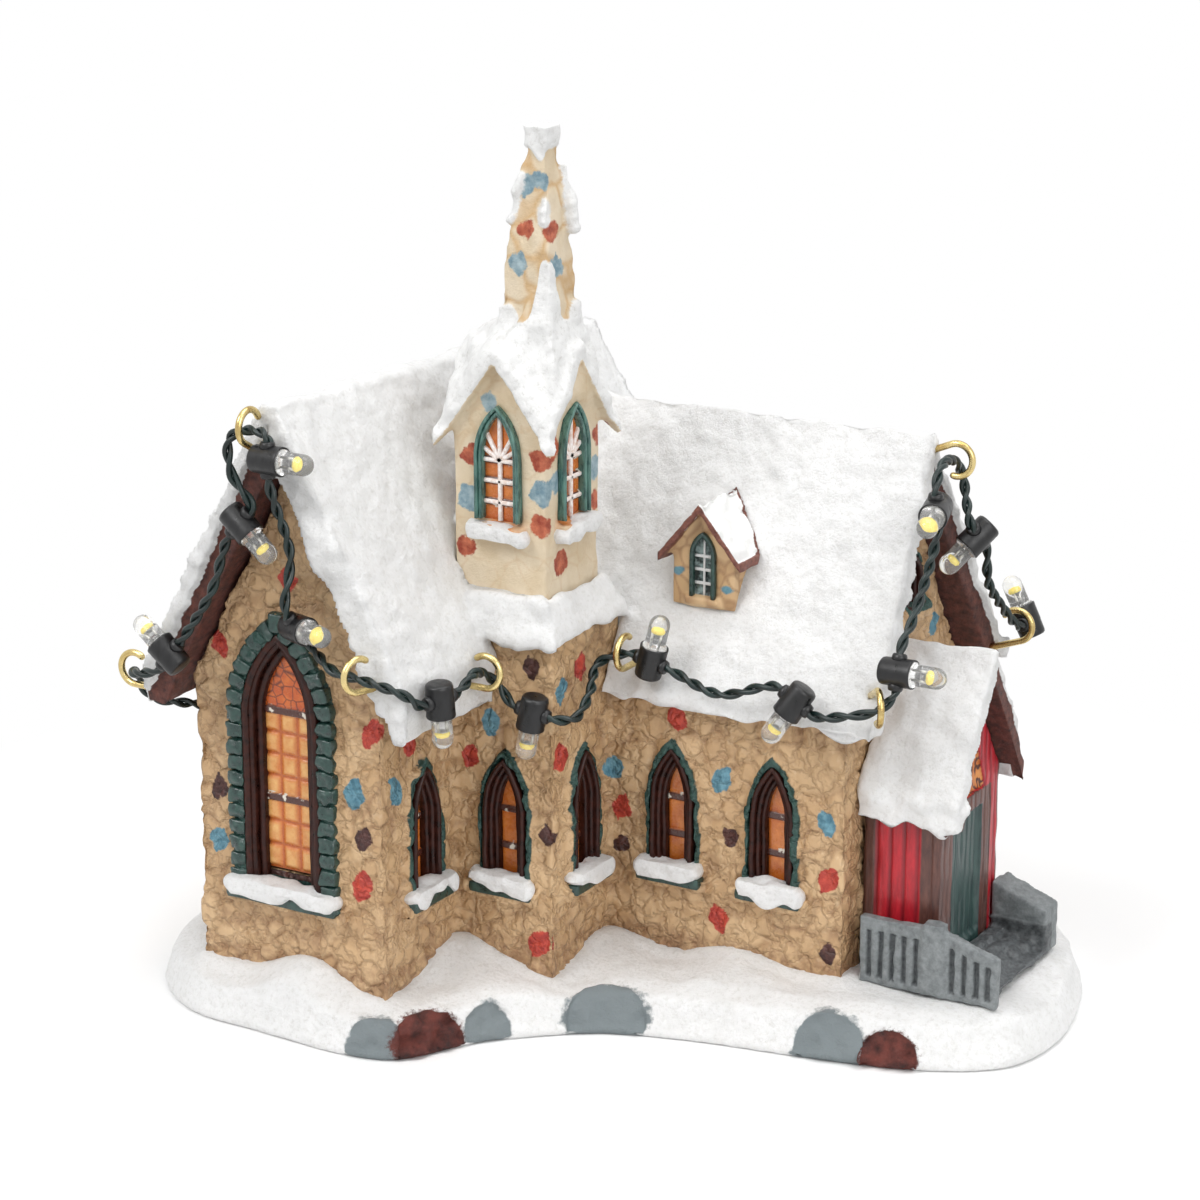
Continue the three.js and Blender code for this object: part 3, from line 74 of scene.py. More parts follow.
# Light string: two thin green plastic-covered wires twisted together, 1.7 mm across. It leaves the
# wing's west wall, hangs in the brass hooks under the eaves, and ends in the twelfth lamp.
class Wire:
    """A socket in a finish. Arithmetic on it adds Math nodes to the same tree."""

    def __init__(self, finish, socket):
        self.finish, self.socket = finish, socket

    def maths(self, operation, *values):
        return self.finish.node("Math", {"operation": operation}, dict(enumerate(values)))

    def __add__(self, other):
        return self.maths("ADD", self, other)

    def __radd__(self, other):
        return self.maths("ADD", other, self)

    def __sub__(self, other):
        return self.maths("SUBTRACT", self, other)

    def __rsub__(self, other):
        return self.maths("SUBTRACT", other, self)

    def __mul__(self, other):
        return self.maths("MULTIPLY", self, other)

    def __rmul__(self, other):
        return self.maths("MULTIPLY", other, self)

    def within(self, low, high):
        """0 below low, 1 above high, and even between them."""
        return self.finish.node("MapRange", {}, {0: self, 1: low, 2: high})


class Finish:
    """A material, built from nodes that feed one Principled surface."""

    def __init__(self, name, holder=None):
        self.material = holder or bpy.data.materials.new(name)
        self.material.use_nodes = True
        self.tree = self.material.node_tree
        self.tree.nodes.clear()

    def node(self, kind, settings, inputs, output=0):
        made = self.tree.nodes.new("ShaderNode" + kind)
        for name, value in settings.items():
            if name == "stops":
                ramp = made.color_ramp
                while len(ramp.elements) < len(value):
                    ramp.elements.new(0.5)
                for stop, (place, shade) in zip(ramp.elements, value):
                    stop.position, stop.color = place, shade
            else:
                setattr(made, name, value)
        for name, value in inputs.items():
            if isinstance(value, Wire):
                self.tree.links.new(value.socket, made.inputs[name])
            else:
                made.inputs[name].default_value = value
        return None if output is None else Wire(self, made.outputs[output])

    def painted(self, mask):
        """A mask that was painted on the mesh, from 0 to 1."""
        return self.node("Attribute", {"attribute_name": mask}, {}, "Fac")

    def grain(self, size, detail=4.0, roughness=0.6, stretch=(1.0, 1.0, 1.0), output=0):
        """Noise from about 0.3 to 0.7 whose lumps are about size metres across."""
        place = self.node("TexCoord", {}, {}, "Object")
        spread = self.node("Mapping", {}, {"Vector": place, "Scale": tuple(s / size for s in stretch)})
        return self.node(
            "TexNoise", {}, {"Vector": spread, "Scale": 1.0, "Detail": detail, "Roughness": roughness}, output
        )

    def mix(self, share, first, second):
        """Two colours, from the first at share 0 to the second at share 1."""
        return self.node("Mix", {"data_type": "RGBA"}, {0: share, 6: first, 7: second}, 2)

    def relief(self, height, depth, strength=1.0, under=None):
        """A normal from a height of 0 to 1, which stands for depth metres."""
        inputs = {"Height": height, "Distance": depth, "Strength": strength}
        if under is not None:
            inputs["Normal"] = under
        return self.node("Bump", {}, inputs)

    def surface(self, **inputs):
        names = {key.replace("_", " ").title().replace("Ior", "IOR"): value for key, value in inputs.items()}
        self.node("OutputMaterial", {}, {"Surface": self.node("BsdfPrincipled", {}, names)}, None)
        return self.material


def ink(red, green, blue, alpha=1.0):
    """A colour from the usual 0 to 255 screen values."""

    def linear(value):
        share = value / 255.0
        return share / 12.92 if share <= 0.04045 else ((share + 0.055) / 1.055) ** 2.4

    return (linear(red), linear(green), linear(blue), alpha)


def new_piece(name, points, faces, materials, smooth=True):
    """A mesh object in metres, linked to the scene."""
    mesh = bpy.data.meshes.new(name)
    mesh.from_pydata([tuple(p) for p in points], [], faces)
    mesh.update()
    for material in materials:
        mesh.materials.append(material)
    mesh.polygons.foreach_set("use_smooth", [smooth] * len(mesh.polygons))
    piece = bpy.data.objects.new(name, mesh)
    bpy.context.scene.collection.objects.link(piece)
    return piece


def tube_faces(rings, sides, first=0):
    """Faces of a tube with closed ends, whose rings follow each other in the list of points."""
    faces = []
    for ring in range(rings - 1):
        for side in range(sides):
            a = first + ring * sides + side
            b = first + ring * sides + (side + 1) % sides
            faces.append((a, b, b + sides, a + sides))
    last = first + (rings - 1) * sides
    faces.append(tuple(reversed(range(first, first + sides))))
    faces.append(tuple(range(last, last + sides)))
    return faces


def ring_round(centre, a, b, radius, sides):
    """Points on a circle about centre, in the plane of a and b."""
    angles = [2 * math.pi * i / sides for i in range(sides)]
    return [centre + (a * math.cos(angle) + b * math.sin(angle)) * radius for angle in angles]


def eased_route(points, per_span):
    """Even steps on the smooth curve through points: the centripetal curve that the solid follows."""
    ends = np.vstack([2 * points[0] - points[1], points, 2 * points[-1] - points[-2]])
    steps = []
    for i in range(1, len(ends) - 2):
        p0, p1, p2, p3 = ends[i - 1 : i + 3]
        d0, d1, d2 = (max(np.linalg.norm(b - a) ** 0.5, 1e-6) for a, b in ((p0, p1), (p1, p2), (p2, p3)))
        t1 = ((p1 - p0) / d0 - (p2 - p0) / (d0 + d1) + (p2 - p1) / d1) * d1
        t2 = ((p2 - p1) / d1 - (p3 - p1) / (d1 + d2) + (p3 - p2) / d2) * d1
        for t in np.arange(per_span) / per_span:
            cubic = (2 * p1 - 2 * p2 + t1 + t2) * t**3 + (-3 * p1 + 3 * p2 - 2 * t1 - t2) * t**2
            steps.append(cubic + t1 * t + p1)
    steps.append(points[-1])
    return np.array(steps)


def reach_along(path):
    """How far along the path each of its points is."""
    return np.concatenate([[0.0], np.cumsum(np.linalg.norm(np.diff(path, axis=0), axis=1))])


def even_steps(path, step):
    """The same path with points about step apart."""
    reach = reach_along(path)
    marks = np.linspace(0.0, reach[-1], max(2, int(round(reach[-1] / step)) + 1))
    return np.stack([np.interp(marks, reach, path[:, axis]) for axis in range(3)], axis=1)


def along_frames(path):
    """Directions along and across a path, turned as little as possible from point to point."""
    tangents = np.gradient(path, axis=0)
    tangents /= np.linalg.norm(tangents, axis=1, keepdims=True)
    side = np.cross(tangents[0], (0.0, 0.0, 1.0))
    sides = []
    for tangent in tangents:
        side = side - tangent * np.dot(side, tangent)
        side = side / np.linalg.norm(side)
        sides.append(side)
    sides = np.array(sides)
    return tangents, sides, np.cross(tangents, sides)


def fixed(piece, slot, *nodes):
    """A piece that is glued to the church or held by it, and the solids that it stands for."""
    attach(piece, "church")
    if nodes:
        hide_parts(*nodes)


def unit(vector):
    vector = np.array(vector, dtype=float)
    return vector / np.linalg.norm(vector)


HOOK_RING = 0.0026
HOOK_SAG = 0.0005
HOOKS = [
    ((-0.063, -0.0445, 0.055), (1.0, 0.0, 0.0), 0.0029, (0.0, 1.0, 0.0)),
    ((-0.03865, -0.046, 0.0964), (0.0, 0.87, -0.5), 0.004, (-1.0, 0.0, 0.0)),
    ((-0.0189, -0.046, 0.0625), (0.3, 0.954, 0.0), 0.0037, (-0.954, 0.3, 0.0)),
    ((-0.014, -0.02785, 0.0585), (-1.0, 0.0, 0.0), 0.0029, (0.0, -1.0, 0.0)),
    ((0.0022, -0.00394, 0.0584), (0.0, 1.0, 0.0), 0.0041, (-1.0, 0.0, 0.0)),
    ((0.0437, -0.0047, 0.05458), (-0.52, 0.74, -0.42), 0.0045, (0.82, 0.57, 0.0)),
    ((0.0415, 0.019, 0.0872), (-0.92, 0.0, -0.39), 0.0047, (0.0, 1.0, 0.0)),
    ((0.04396, 0.0405, 0.0555), (-0.94, 0.0, -0.34), 0.0042, (0.0, -1.0, 0.0)),
]
LAMPS = [
    ((-0.0549, -0.0496, 0.0603), (-0.76, 0.0, 0.64), (0.64, 0.0, 0.76)),
    ((-0.0409, -0.0494, 0.0833), (0.75, 0.0, -0.66), (0.66, 0.0, 0.75)),
    ((-0.0347, -0.0504, 0.094), (1.0, 0.0, 0.0), (0.0, 0.0, -1.0)),
    ((-0.0322, -0.0475, 0.0675), (0.926, -0.377, 0.02), (0.3, 0.5, -0.8)),
    ((-0.0109, -0.0412, 0.0579), (0.0, 0.1, -1.0), (0.3, 0.95, 0.0)),
    ((-0.0041, -0.0255, 0.0525), (-0.2, 0.0, -0.98), (0.98, 0.1, -0.2)),
    ((0.0069, -0.008, 0.0576), (0.24, 0.0, 0.97), (0.97, 0.0, -0.24)),
    ((0.0329, -0.0095, 0.0558), (-0.5, -0.2, -0.8), (0.8, 0.0, -0.5)),
    ((0.0483, -0.0063, 0.062), (1.0, 0.0, 0.0), (0.0, 0.27, 0.96)),
    ((0.0484, 0.006, 0.0843), (0.2, -0.96, -0.18), (0.0, -0.18, 0.98)),
    ((0.048, 0.0232, 0.0762), (-0.5, -0.55, -0.66), (0.0, 0.65, -0.75)),
    ((0.048, 0.0446, 0.0566), (-0.45, 0.0, 0.89), (0.0, 1.0, -0.1)),
]
LAMP_HALF_SPAN, SOCKET_RADIUS, SHORT_OF_WALL = 0.0034, 0.00265, 0.0003
ROUTE = [
    (-0.05465, -0.02, 0.044),
    (-0.0585, -0.0204, 0.0441),
    (-0.0593, -0.0285, 0.0454),
    (-0.0612, -0.0372, 0.0479),
    (-0.0658, -0.0408, 0.0494),
    (-0.0674, -0.0419, 0.0526),
    "hook 0",
    (-0.0632, -0.0479, 0.0556),
    "lamp 0",
    (-0.0465, -0.0495, 0.072),
    "lamp 1",
    (-0.0415, -0.0503, 0.091),
    (-0.0416, -0.0503, 0.0965),
    "hook 1",
    "lamp 2",
    (-0.0329, -0.0479, 0.079),
    "lamp 3",
    (-0.025, -0.0484, 0.062),
    "hook 2",
    (-0.013, -0.0484, 0.0604),
    "lamp 4",
    (-0.0099, -0.033, 0.0599),
    "hook 3",
    (-0.0103, -0.0252, 0.0558),
    "lamp 5",
    (0.0014, -0.0223, 0.0514),
    (0.0004, -0.0158, 0.0536),
    (-0.0011, -0.0104, 0.0568),
    "lamp 6",
    (0.0195, -0.009, 0.0546),
    "lamp 7",
    (0.0414, -0.0095, 0.0548),
    (0.0458, -0.0082, 0.056),
    "lamp 8",
    (0.0482, -0.0009, 0.069),
    "lamp 9",
    (0.0478, 0.0092, 0.0906),
    "hook 6",
    (0.0456, 0.0222, 0.0852),
    "lamp 10",
    (0.0478, 0.0282, 0.0675),
    (0.0479, 0.034, 0.0618),
    "lamp 11",
]


def hook_frame(hook):
    """The middle of a hook's ring, the way its shank runs in, and the side that the shank is on."""
    at, along, stand, face = hook
    inward = unit(along)
    normal = unit(np.array(face) - inward * np.dot(face, inward))
    side = np.cross(normal, inward)
    return np.array(at) - inward * stand, inward, side


def lamp_frame(lamp):
    """The middle of a lamp's socket, the way its lens looks, and the way the wires cross it."""
    at, lens, wire = lamp
    ahead = unit(lens)
    across = unit(np.array(wire) - ahead * np.dot(wire, ahead))
    return np.array(at), ahead, across


route_points = []
for stop in ROUTE:
    if isinstance(stop, tuple):
        route_points.append(stop)
        continue
    kind, number = stop.split(" ")
    if kind == "hook":
        route_points.append(hook_frame(HOOKS[int(number)])[0] - np.array((0.0, 0.0, HOOK_SAG)))
        continue
    middle, ahead, across = lamp_frame(LAMPS[int(number)])
    onward = SOCKET_RADIUS - SHORT_OF_WALL if stop == ROUTE[-1] else LAMP_HALF_SPAN
    route_points += [middle - across * LAMP_HALF_SPAN, middle + across * onward]
string_path = even_steps(eased_route(np.array(route_points, dtype=float), 24), 0.0004)


def twisted_pair(path, wire_radius, pitch, sides):
    """Points and faces of two wires that wind round each other along a path."""
    _, left, up = along_frames(path)
    reach = reach_along(path)
    wobble = 0.5 * np.sin(reach * 330.0) + 0.4 * np.sin(reach * 175.0 + 1.0)
    points, faces = [], []
    for start in (0.0, math.pi):
        turns = reach / pitch * 2 * math.pi + wobble + start
        off = left * np.cos(turns)[:, None] + up * np.sin(turns)[:, None]
        middle = path + off * wire_radius * 1.02
        _, wire_left, wire_up = along_frames(middle)
        first = len(points)
        for centre, a, b in zip(middle, wire_left, wire_up):
            points += ring_round(centre, a, b, wire_radius, sides)
        faces += tube_faces(len(middle), sides, first)
    return points, faces


jacket = Finish("cord_jacket")
scuffs = jacket.grain(0.0008, detail=5.0)
streaks = jacket.grain(0.004, detail=2.0)
cord_colour = jacket.mix(streaks.within(0.35, 0.65), ink(8, 24, 23), ink(22, 42, 40))
cord_jacket = jacket.surface(
    base_color=cord_colour,
    roughness=scuffs.within(0.3, 0.7) * 0.2 + 0.24,
    normal=jacket.relief(scuffs, 0.00005, 0.5),
)
STRING_WIRE, STRING_PITCH = 0.00042, 0.0068
pair_points, pair_faces = twisted_pair(string_path, STRING_WIRE, STRING_PITCH, sides=10)
light_string = new_piece("twisted_light_string", pair_points, pair_faces, [cord_jacket])
fixed(light_string, "cord_jacket", "light_string")


# Lamp sockets: black moulded plastic sleeves. The wires go in at both sides at mid-height, through
# a short boss, and the lamp is pushed into the flared mouth.
def turned(name, profile, material, sides):
    """A piece turned about +Z from (radius, height) pairs."""
    points, faces = [], []
    for radius, height in profile:
        for i in range(sides):
            angle = 2 * math.pi * i / sides
            points.append((radius * math.cos(angle), radius * math.sin(angle), height))
    for ring in range(len(profile) - 1):
        for i in range(sides):
            j = (i + 1) % sides
            faces.append((ring * sides + i, ring * sides + j, (ring + 1) * sides + j, (ring + 1) * sides + i))
    piece = new_piece(name, points, faces, [material])
    shape = bmesh.new()
    shape.from_mesh(piece.data)
    bmesh.ops.remove_doubles(shape, verts=shape.verts, dist=1e-6)
    bmesh.ops.recalc_face_normals(shape, faces=shape.faces)
    shape.to_mesh(piece.data)
    shape.free()
    return piece


def standing(middle, ahead, across):
    """The placing that turns +Z to ahead and +X to across, at middle."""
    other = np.cross(ahead, across)
    rows = [[across[i], other[i], ahead[i], middle[i]] for i in range(3)] + [[0, 0, 0, 1]]
    return Matrix(rows)


def settle(piece, placing):
    """Moves a piece's points to where it stands, so that its object stays at the origin."""
    piece.data.transform(placing)
    piece.data.update()


def joined(pieces, name):
    """One object from several, which keeps each one's materials."""
    shape = bmesh.new()
    materials = []
    for piece in pieces:
        start = len(shape.faces)
        shape.from_mesh(piece.data)
        shape.faces.ensure_lookup_table()
        places = []
        for material in piece.data.materials:
            if material not in materials:
                materials.append(material)
            places.append(materials.index(material))
        for face in shape.faces[start:]:
            face.material_index = places[face.material_index]
    mesh = bpy.data.meshes.new(name)
    shape.to_mesh(mesh)
    shape.free()
    for material in materials:
        mesh.materials.append(material)
    for piece in pieces:
        bpy.data.objects.remove(piece)
    whole = bpy.data.objects.new(name, mesh)
    bpy.context.scene.collection.objects.link(whole)
    return whole


moulding = Finish("socket_plastic")
flow = moulding.grain(0.0011, detail=6.0, stretch=(1.0, 1.0, 0.4))
socket_plastic = moulding.surface(
    base_color=moulding.mix(flow.within(0.35, 0.7), ink(9, 9, 10), ink(24, 24, 26)),
    roughness=flow.within(0.3, 0.7) * 0.3 + 0.22,
    normal=moulding.relief(flow, 0.00012, 0.6),
)

SOCKET_SHAPE = [
    (0.0, -0.0027),
    (0.00135, -0.0027),
    (0.0018, -0.00264),
    (0.00204, -0.00245),
    (0.00214, -0.0021),
    (0.00217, -0.0004),
    (0.00222, -0.0002),
    (0.00224, 0.0022),
    (0.00228, 0.0025),
    (0.00224, 0.0027),
    (0.0021, 0.0027),
    (0.00204, 0.0026),
    (0.002, 0.0019),
    (0.0, 0.0019),
]
BOSS_SHAPE = [
    (0.0, -0.0006),
    (0.00128, -0.0006),
    (0.00118, 0.0002),
    (0.00106, 0.00058),
    (0.00084, 0.00066),
    (0.0, 0.00066),
]
BOSS_OFF_MIDDLE = 0.0022

for number, lamp in enumerate(LAMPS, start=1):
    middle, ahead, across = lamp_frame(lamp)
    sleeve = turned("sleeve", SOCKET_SHAPE, socket_plastic, sides=36)
    settle(sleeve, standing(middle, ahead, across))
    parts = [sleeve]
    for way in (-1, 1):
        boss = turned("boss", BOSS_SHAPE, socket_plastic, sides=20)
        settle(boss, standing(middle + across * way * BOSS_OFF_MIDDLE, across * way, ahead))
        parts.append(boss)
    socket = joined(parts, f"lamp_sleeve_{number}")
    fixed(socket, "socket_plastic", f"lamp_socket_{number}")


# Lamps: 3 mm diodes. A clear epoxy dome with a collar holds two steel legs, the cup that the die
# sits in, and a yellow phosphor cap over it.
epoxy = Finish("led_lens")
ripple = epoxy.grain(0.0012, detail=2.0)
led_lens = epoxy.surface(
    base_color=(0.98, 0.98, 0.97, 1.0),
    roughness=ripple.within(0.4, 0.6) * 0.05 + 0.02,
    transmission_weight=0.86,
    ior=1.4,
    normal=epoxy.relief(ripple, 0.00006, 0.5),
)
plating = Finish("led_legs")
brushed = plating.grain(0.0006, detail=3.0)
led_legs = plating.surface(
    base_color=plating.mix(brushed, ink(196, 194, 186), ink(232, 230, 222)),
    metallic=1.0,
    roughness=brushed * 0.3 + 0.2,
)
phosphor = Finish("led_phosphor")
powder = phosphor.grain(0.0004, detail=4.0)
led_phosphor = phosphor.surface(
    base_color=phosphor.mix(powder.within(0.35, 0.65), ink(238, 206, 62), ink(250, 232, 110)),
    roughness=powder * 0.2 + 0.6,
    emission_color=phosphor.mix(powder, ink(238, 206, 62), ink(250, 232, 110)),
    emission_strength=0.3,
)

LENS_FOOT = 0.0021
DOME_RADIUS, DOME_FOOT = 0.00165, 0.00425
dome_turns = np.linspace(0.0, math.pi / 2 - 0.02, 14)
LENS_SHAPE = [(0.0, 0.0), (0.00188, 0.0), (0.00195, 0.0001), (0.00195, 0.0008), (0.00188, 0.0009)]
LENS_SHAPE += [(DOME_RADIUS, 0.00092)]
LENS_SHAPE += [(DOME_RADIUS * math.cos(a), DOME_FOOT + DOME_RADIUS * math.sin(a)) for a in dome_turns]
LENS_SHAPE += [(0.0, DOME_FOOT + DOME_RADIUS)]
CUP_SHAPE = [
    (0.0, 0.0022),
    (0.0002, 0.0022),
    (0.0006, 0.0028),
    (0.00072, 0.0031),
    (0.0006, 0.0031),
    (0.0004, 0.0028),
    (0.0, 0.0027),
]
CAP_SHAPE = [(0.0, 0.0029), (0.00074, 0.0029), (0.0008, 0.0033), (0.00062, 0.0038), (0.0, 0.004)]
LEG_SHAPE = [(0.0, 0.0001), (0.00016, 0.0001), (0.00016, 0.0028), (0.0, 0.0028)]
LEG_OFF_MIDDLE = 0.00055

for number, lamp in enumerate(LAMPS, start=1):
    middle, ahead, across = lamp_frame(lamp)
    placing = standing(middle + ahead * LENS_FOOT, ahead, across)
    lens = turned("lens", LENS_SHAPE, led_lens, sides=32)
    cup = turned("cup", CUP_SHAPE, led_legs, sides=20)
    cap = turned("cap", CAP_SHAPE, led_phosphor, sides=20)
    legs = []
    for way in (-1, 1):
        leg = turned("leg", LEG_SHAPE, led_legs, sides=8)
        settle(leg, Matrix.Translation((way * LEG_OFF_MIDDLE, 0.0, 0.0)))
        legs.append(leg)
    diode = joined([lens, cup, cap] + legs, f"lamp_diode_{number}")
    settle(diode, placing)
    fixed(diode, "led_lens", f"lamp_led_{number}")


# Hooks: bright brass wire bent to an open ring, whose straight shank is glued into the snow. The
# cord lies in the rings.
drawn = Finish("hook_brass")
draw_marks = drawn.grain(0.0005, detail=6.0, roughness=0.7)
tarnish = drawn.grain(0.003, detail=3.0)
hook_brass = drawn.surface(
    base_color=drawn.mix(tarnish.within(0.4, 0.7), ink(226, 205, 146), ink(178, 150, 92)),
    metallic=1.0,
    roughness=draw_marks.within(0.3, 0.7) * 0.22 + 0.14,
    normal=drawn.relief(draw_marks, 0.00006, 0.35),
)
HOOK_WIRE, HOOK_IN_SNOW = 0.00055, 0.003
for number, hook in enumerate(HOOKS, start=1):
    middle, inward, side = hook_frame(hook)
    shank_end = middle + inward * (hook[2] + HOOK_IN_SNOW) + side * HOOK_RING
    bend = [
        middle + inward * HOOK_RING * math.cos(a) + side * HOOK_RING * math.sin(a)
        for a in np.radians(np.linspace(90, 315, 46))
    ]
    line = even_steps(np.vstack([[shank_end], bend]), 0.0003)
    _, left, up = along_frames(line)
    points = []
    for step, (centre, a, b) in enumerate(zip(line, left, up)):
        blunt = min(1.0, math.sqrt((len(line) - 1 - step) * 0.5 + 0.35))
        points += ring_round(centre, a, b, HOOK_WIRE * blunt, 14)
    wire_hook = new_piece(f"brass_hook_{number}", points, tube_faces(len(line), 14), [hook_brass])
    fixed(wire_hook, "hook_brass", f"hook_{number}")


# Snow base: a low mound cast in resin and brushed with white, with grey boulders and dark bark
# left bare at its front edge. The walls, the porch and the steps stand in it.
MM = 0.001


def even_skin(node, name, cell, smoothing=0, blocks=(), balls=(), wraps=()):
    """A copy of a solid, with blocks, balls and wraps added, as one skin of small even faces."""
    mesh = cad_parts[node].data.copy()
    piece = bpy.data.objects.new(name, mesh)
    bpy.context.scene.collection.objects.link(piece)
    shape = bmesh.new()
    shape.from_mesh(mesh)
    for low, high in blocks:
        middle = [(a + b) / 2 for a, b in zip(low, high)]
        sizes = [b - a for a, b in zip(low, high)]
        placing = Matrix.Translation(middle) @ Matrix.Diagonal(sizes + [1.0])
        bmesh.ops.create_cube(shape, size=1.0, matrix=placing)
    for x, y, z, radius in balls:
        placing = Matrix.Translation(Vector((x, y, z)) * MM)
        bmesh.ops.create_icosphere(shape, subdivisions=2, radius=radius * MM, matrix=placing)
    for points in wraps:
        corners = [shape.verts.new(Vector(point) * MM) for point in points]
        wrap = bmesh.ops.convex_hull(shape, input=corners)
        inside = [item for item in wrap["geom_interior"] if isinstance(item, bmesh.types.BMVert)]
        bmesh.ops.delete(shape, geom=inside, context="VERTS")
    shape.to_mesh(mesh)
    shape.free()
    skin = piece.modifiers.new("skin", "REMESH")
    skin.mode = "VOXEL"
    skin.voxel_size = cell
    if smoothing:
        softened = piece.modifiers.new("softened", "SMOOTH")
        softened.iterations = smoothing
        softened.factor = 0.5
    worked = bpy.data.meshes.new_from_object(piece.evaluated_get(bpy.context.evaluated_depsgraph_get()))
    piece.modifiers.clear()
    piece.data = worked
    worked.materials.clear()
    return piece


def places_of(piece):
    """A piece's points, in millimetres."""
    flat = np.empty(len(piece.data.vertices) * 3)
    piece.data.vertices.foreach_get("co", flat)
    return flat.reshape(-1, 3) / MM


def facing_of(piece):
    """The way that the surface faces at each point."""
    flat = np.empty(len(piece.data.vertices) * 3)
    piece.data.vertex_normals.foreach_get("vector", flat)
    return flat.reshape(-1, 3)


def put_back(piece, places):
    piece.data.vertices.foreach_set("co", (places * MM).ravel())
    piece.data.update()


def mark(piece, masks):
    """Puts masks on a mesh, each with one value for each point."""
    for name, values in masks.items():
        layer = piece.data.attributes.new(name, "FLOAT", "POINT")
        layer.data.foreach_set("value", values.astype(np.float32))


def dress(piece, material, masks):
    """Gives a worked skin its material, its masks and smooth faces."""
    piece.data.materials.append(material)
    piece.data.polygons.foreach_set("use_smooth", [True] * len(piece.data.polygons))
    mark(piece, masks)


def lumps(places, size, seed):
    """Smooth random lumps from -1 to 1, about size across."""
    heights = np.random.default_rng(seed).uniform(-1.0, 1.0, 4096)
    spot = places / size + seed * 3.7
    cell = np.floor(spot).astype(np.int64)
    share = spot - cell
    share = share * share * (3.0 - 2.0 * share)
    total = np.zeros(len(places))
    for corner in range(8):
        step = np.array((corner & 1, corner >> 1 & 1, corner >> 2 & 1))
        key = (cell + step) @ np.array((73856093, 19349663, 83492791))
        total += np.prod(np.where(step, share, 1.0 - share), axis=1) * heights[key % 4096]
    return total


def ease(values, low, high):
    """0 below low, 1 above high and smooth between them. It runs down where low is above high."""
    share = np.clip((values - low) / (high - low), 0.0, 1.0)
    return share * share * (3.0 - 2.0 * share)


def off_box(x, y, west, east, south, north):
    """How far a place lies outside a box on the plan, or inside it where it is below zero."""
    across = np.maximum(west - x, x - east)
    along = np.maximum(south - y, y - north)
    outside = np.hypot(np.maximum(across, 0.0), np.maximum(along, 0.0))
    return outside + np.minimum(np.maximum(across, along), 0.0)


WING_WEST, WING_EAST, WING_SOUTH = -56.0, -21.3, -42.0
NAVE_SOUTH, NAVE_NORTH, NAVE_EAST = -3.0, 41.0, 38.5
FOOT_EAST, FOOT_SOUTH = -3.4, -21.0
WALL_BLOCKS = [
    (WING_WEST, WING_EAST, WING_SOUTH, NAVE_NORTH),
    (WING_EAST - 5.0, NAVE_EAST, NAVE_SOUTH, NAVE_NORTH),
    (WING_EAST - 5.0, FOOT_EAST, FOOT_SOUTH, NAVE_SOUTH + 5.0),
]


def off_walls(x, y):
    return np.min([off_box(x, y, *block) for block in WALL_BLOCKS], axis=0)


DRIFTS = [
    (-36.0, -43.5, 5.0, 3.2),
    (-50.0, -43.0, 5.0, -1.2),
    (-22.0, -43.0, 5.0, -1.6),
    (-20.5, -21.5, 4.5, 2.8),
    (-19.5, -34.0, 5.0, -1.4),
    (-2.0, -20.0, 4.5, -2.2),
    (-1.5, -4.5, 3.6, 1.6),
    (9.0, -4.0, 4.5, -1.8),
    (22.0, -4.0, 5.0, 1.8),
    (34.0, -4.0, 4.5, -0.6),
]
BOULDERS = [
    (-18.9, -49.2, 2.6, 5.4, 4.6),
    (-6.5, -34.9, 2.8, 4.3, 4.4),
    (7.5, -23.1, 2.6, 6.6, 6.9),
    (41.8, -14.3, 2.4, 5.8, 5.6),
]
BARK = [(-12.2, -43.2, 2.4, 6.6, 5.0), (51.3, -12.9, 2.2, 4.8, 4.4)]


def nearest_lump(places, rocks):
    """How far outside the nearest rock each place is, as a share of its size, and that rock's place."""
    best = np.full(len(places), 9.0)
    which = np.zeros(len(places), dtype=int)
    for number, (x, y, z, wide, tall) in enumerate(rocks):
        off = (places - (x, y, z)) / (wide, wide, tall)
        reach = np.linalg.norm(off, axis=1)
        which = np.where(reach < best, number, which)
        best = np.minimum(best, reach)
    return best, which


GROUND_IN_WALLS = [
    ((-0.0558, -0.0418, 0.0046), (-0.0215, 0.0408, 0.0082)),
    ((-0.024, -0.0208, 0.0046), (-0.0036, 0.002, 0.0082)),
    ((-0.024, -0.0028, 0.0046), (0.0383, 0.0408, 0.0082)),
]
mound = even_skin("snow_base", "snow_mound", cell=0.00062, smoothing=8, blocks=GROUND_IN_WALLS)
places, facing = places_of(mound), facing_of(mound)
x, y, z = places.T
top = ease(facing[:, 2], 0.15, 0.6) * ease(z, 3.0, 6.0)
rise = 0.9 * lumps(places * (1, 1, 0), 13.0, 3) + 0.35 * lumps(places * (1, 1, 0), 4.5, 4)
for drift_x, drift_y, spread, height in DRIFTS:
    rise += height * np.exp(-((x - drift_x) ** 2 + (y - drift_y) ** 2) / (2 * spread**2))
rise += 0.8 * ease(off_walls(x, y), 3.0, 0.0)
rise *= ease(off_walls(x, y), -4.0, -1.0)
places[:, 2] += top * rise
side = (1.0 - top) * ease(z, 0.6, 2.0)
places += facing * (0.5 * lumps(places, 6.0, 5) + 0.25 * lumps(places, 2.2, 6) - 0.3)[:, None] * side[:, None]
rock_reach, rock = nearest_lump(places, BOULDERS)
bark_reach, bark = nearest_lump(places, BARK)
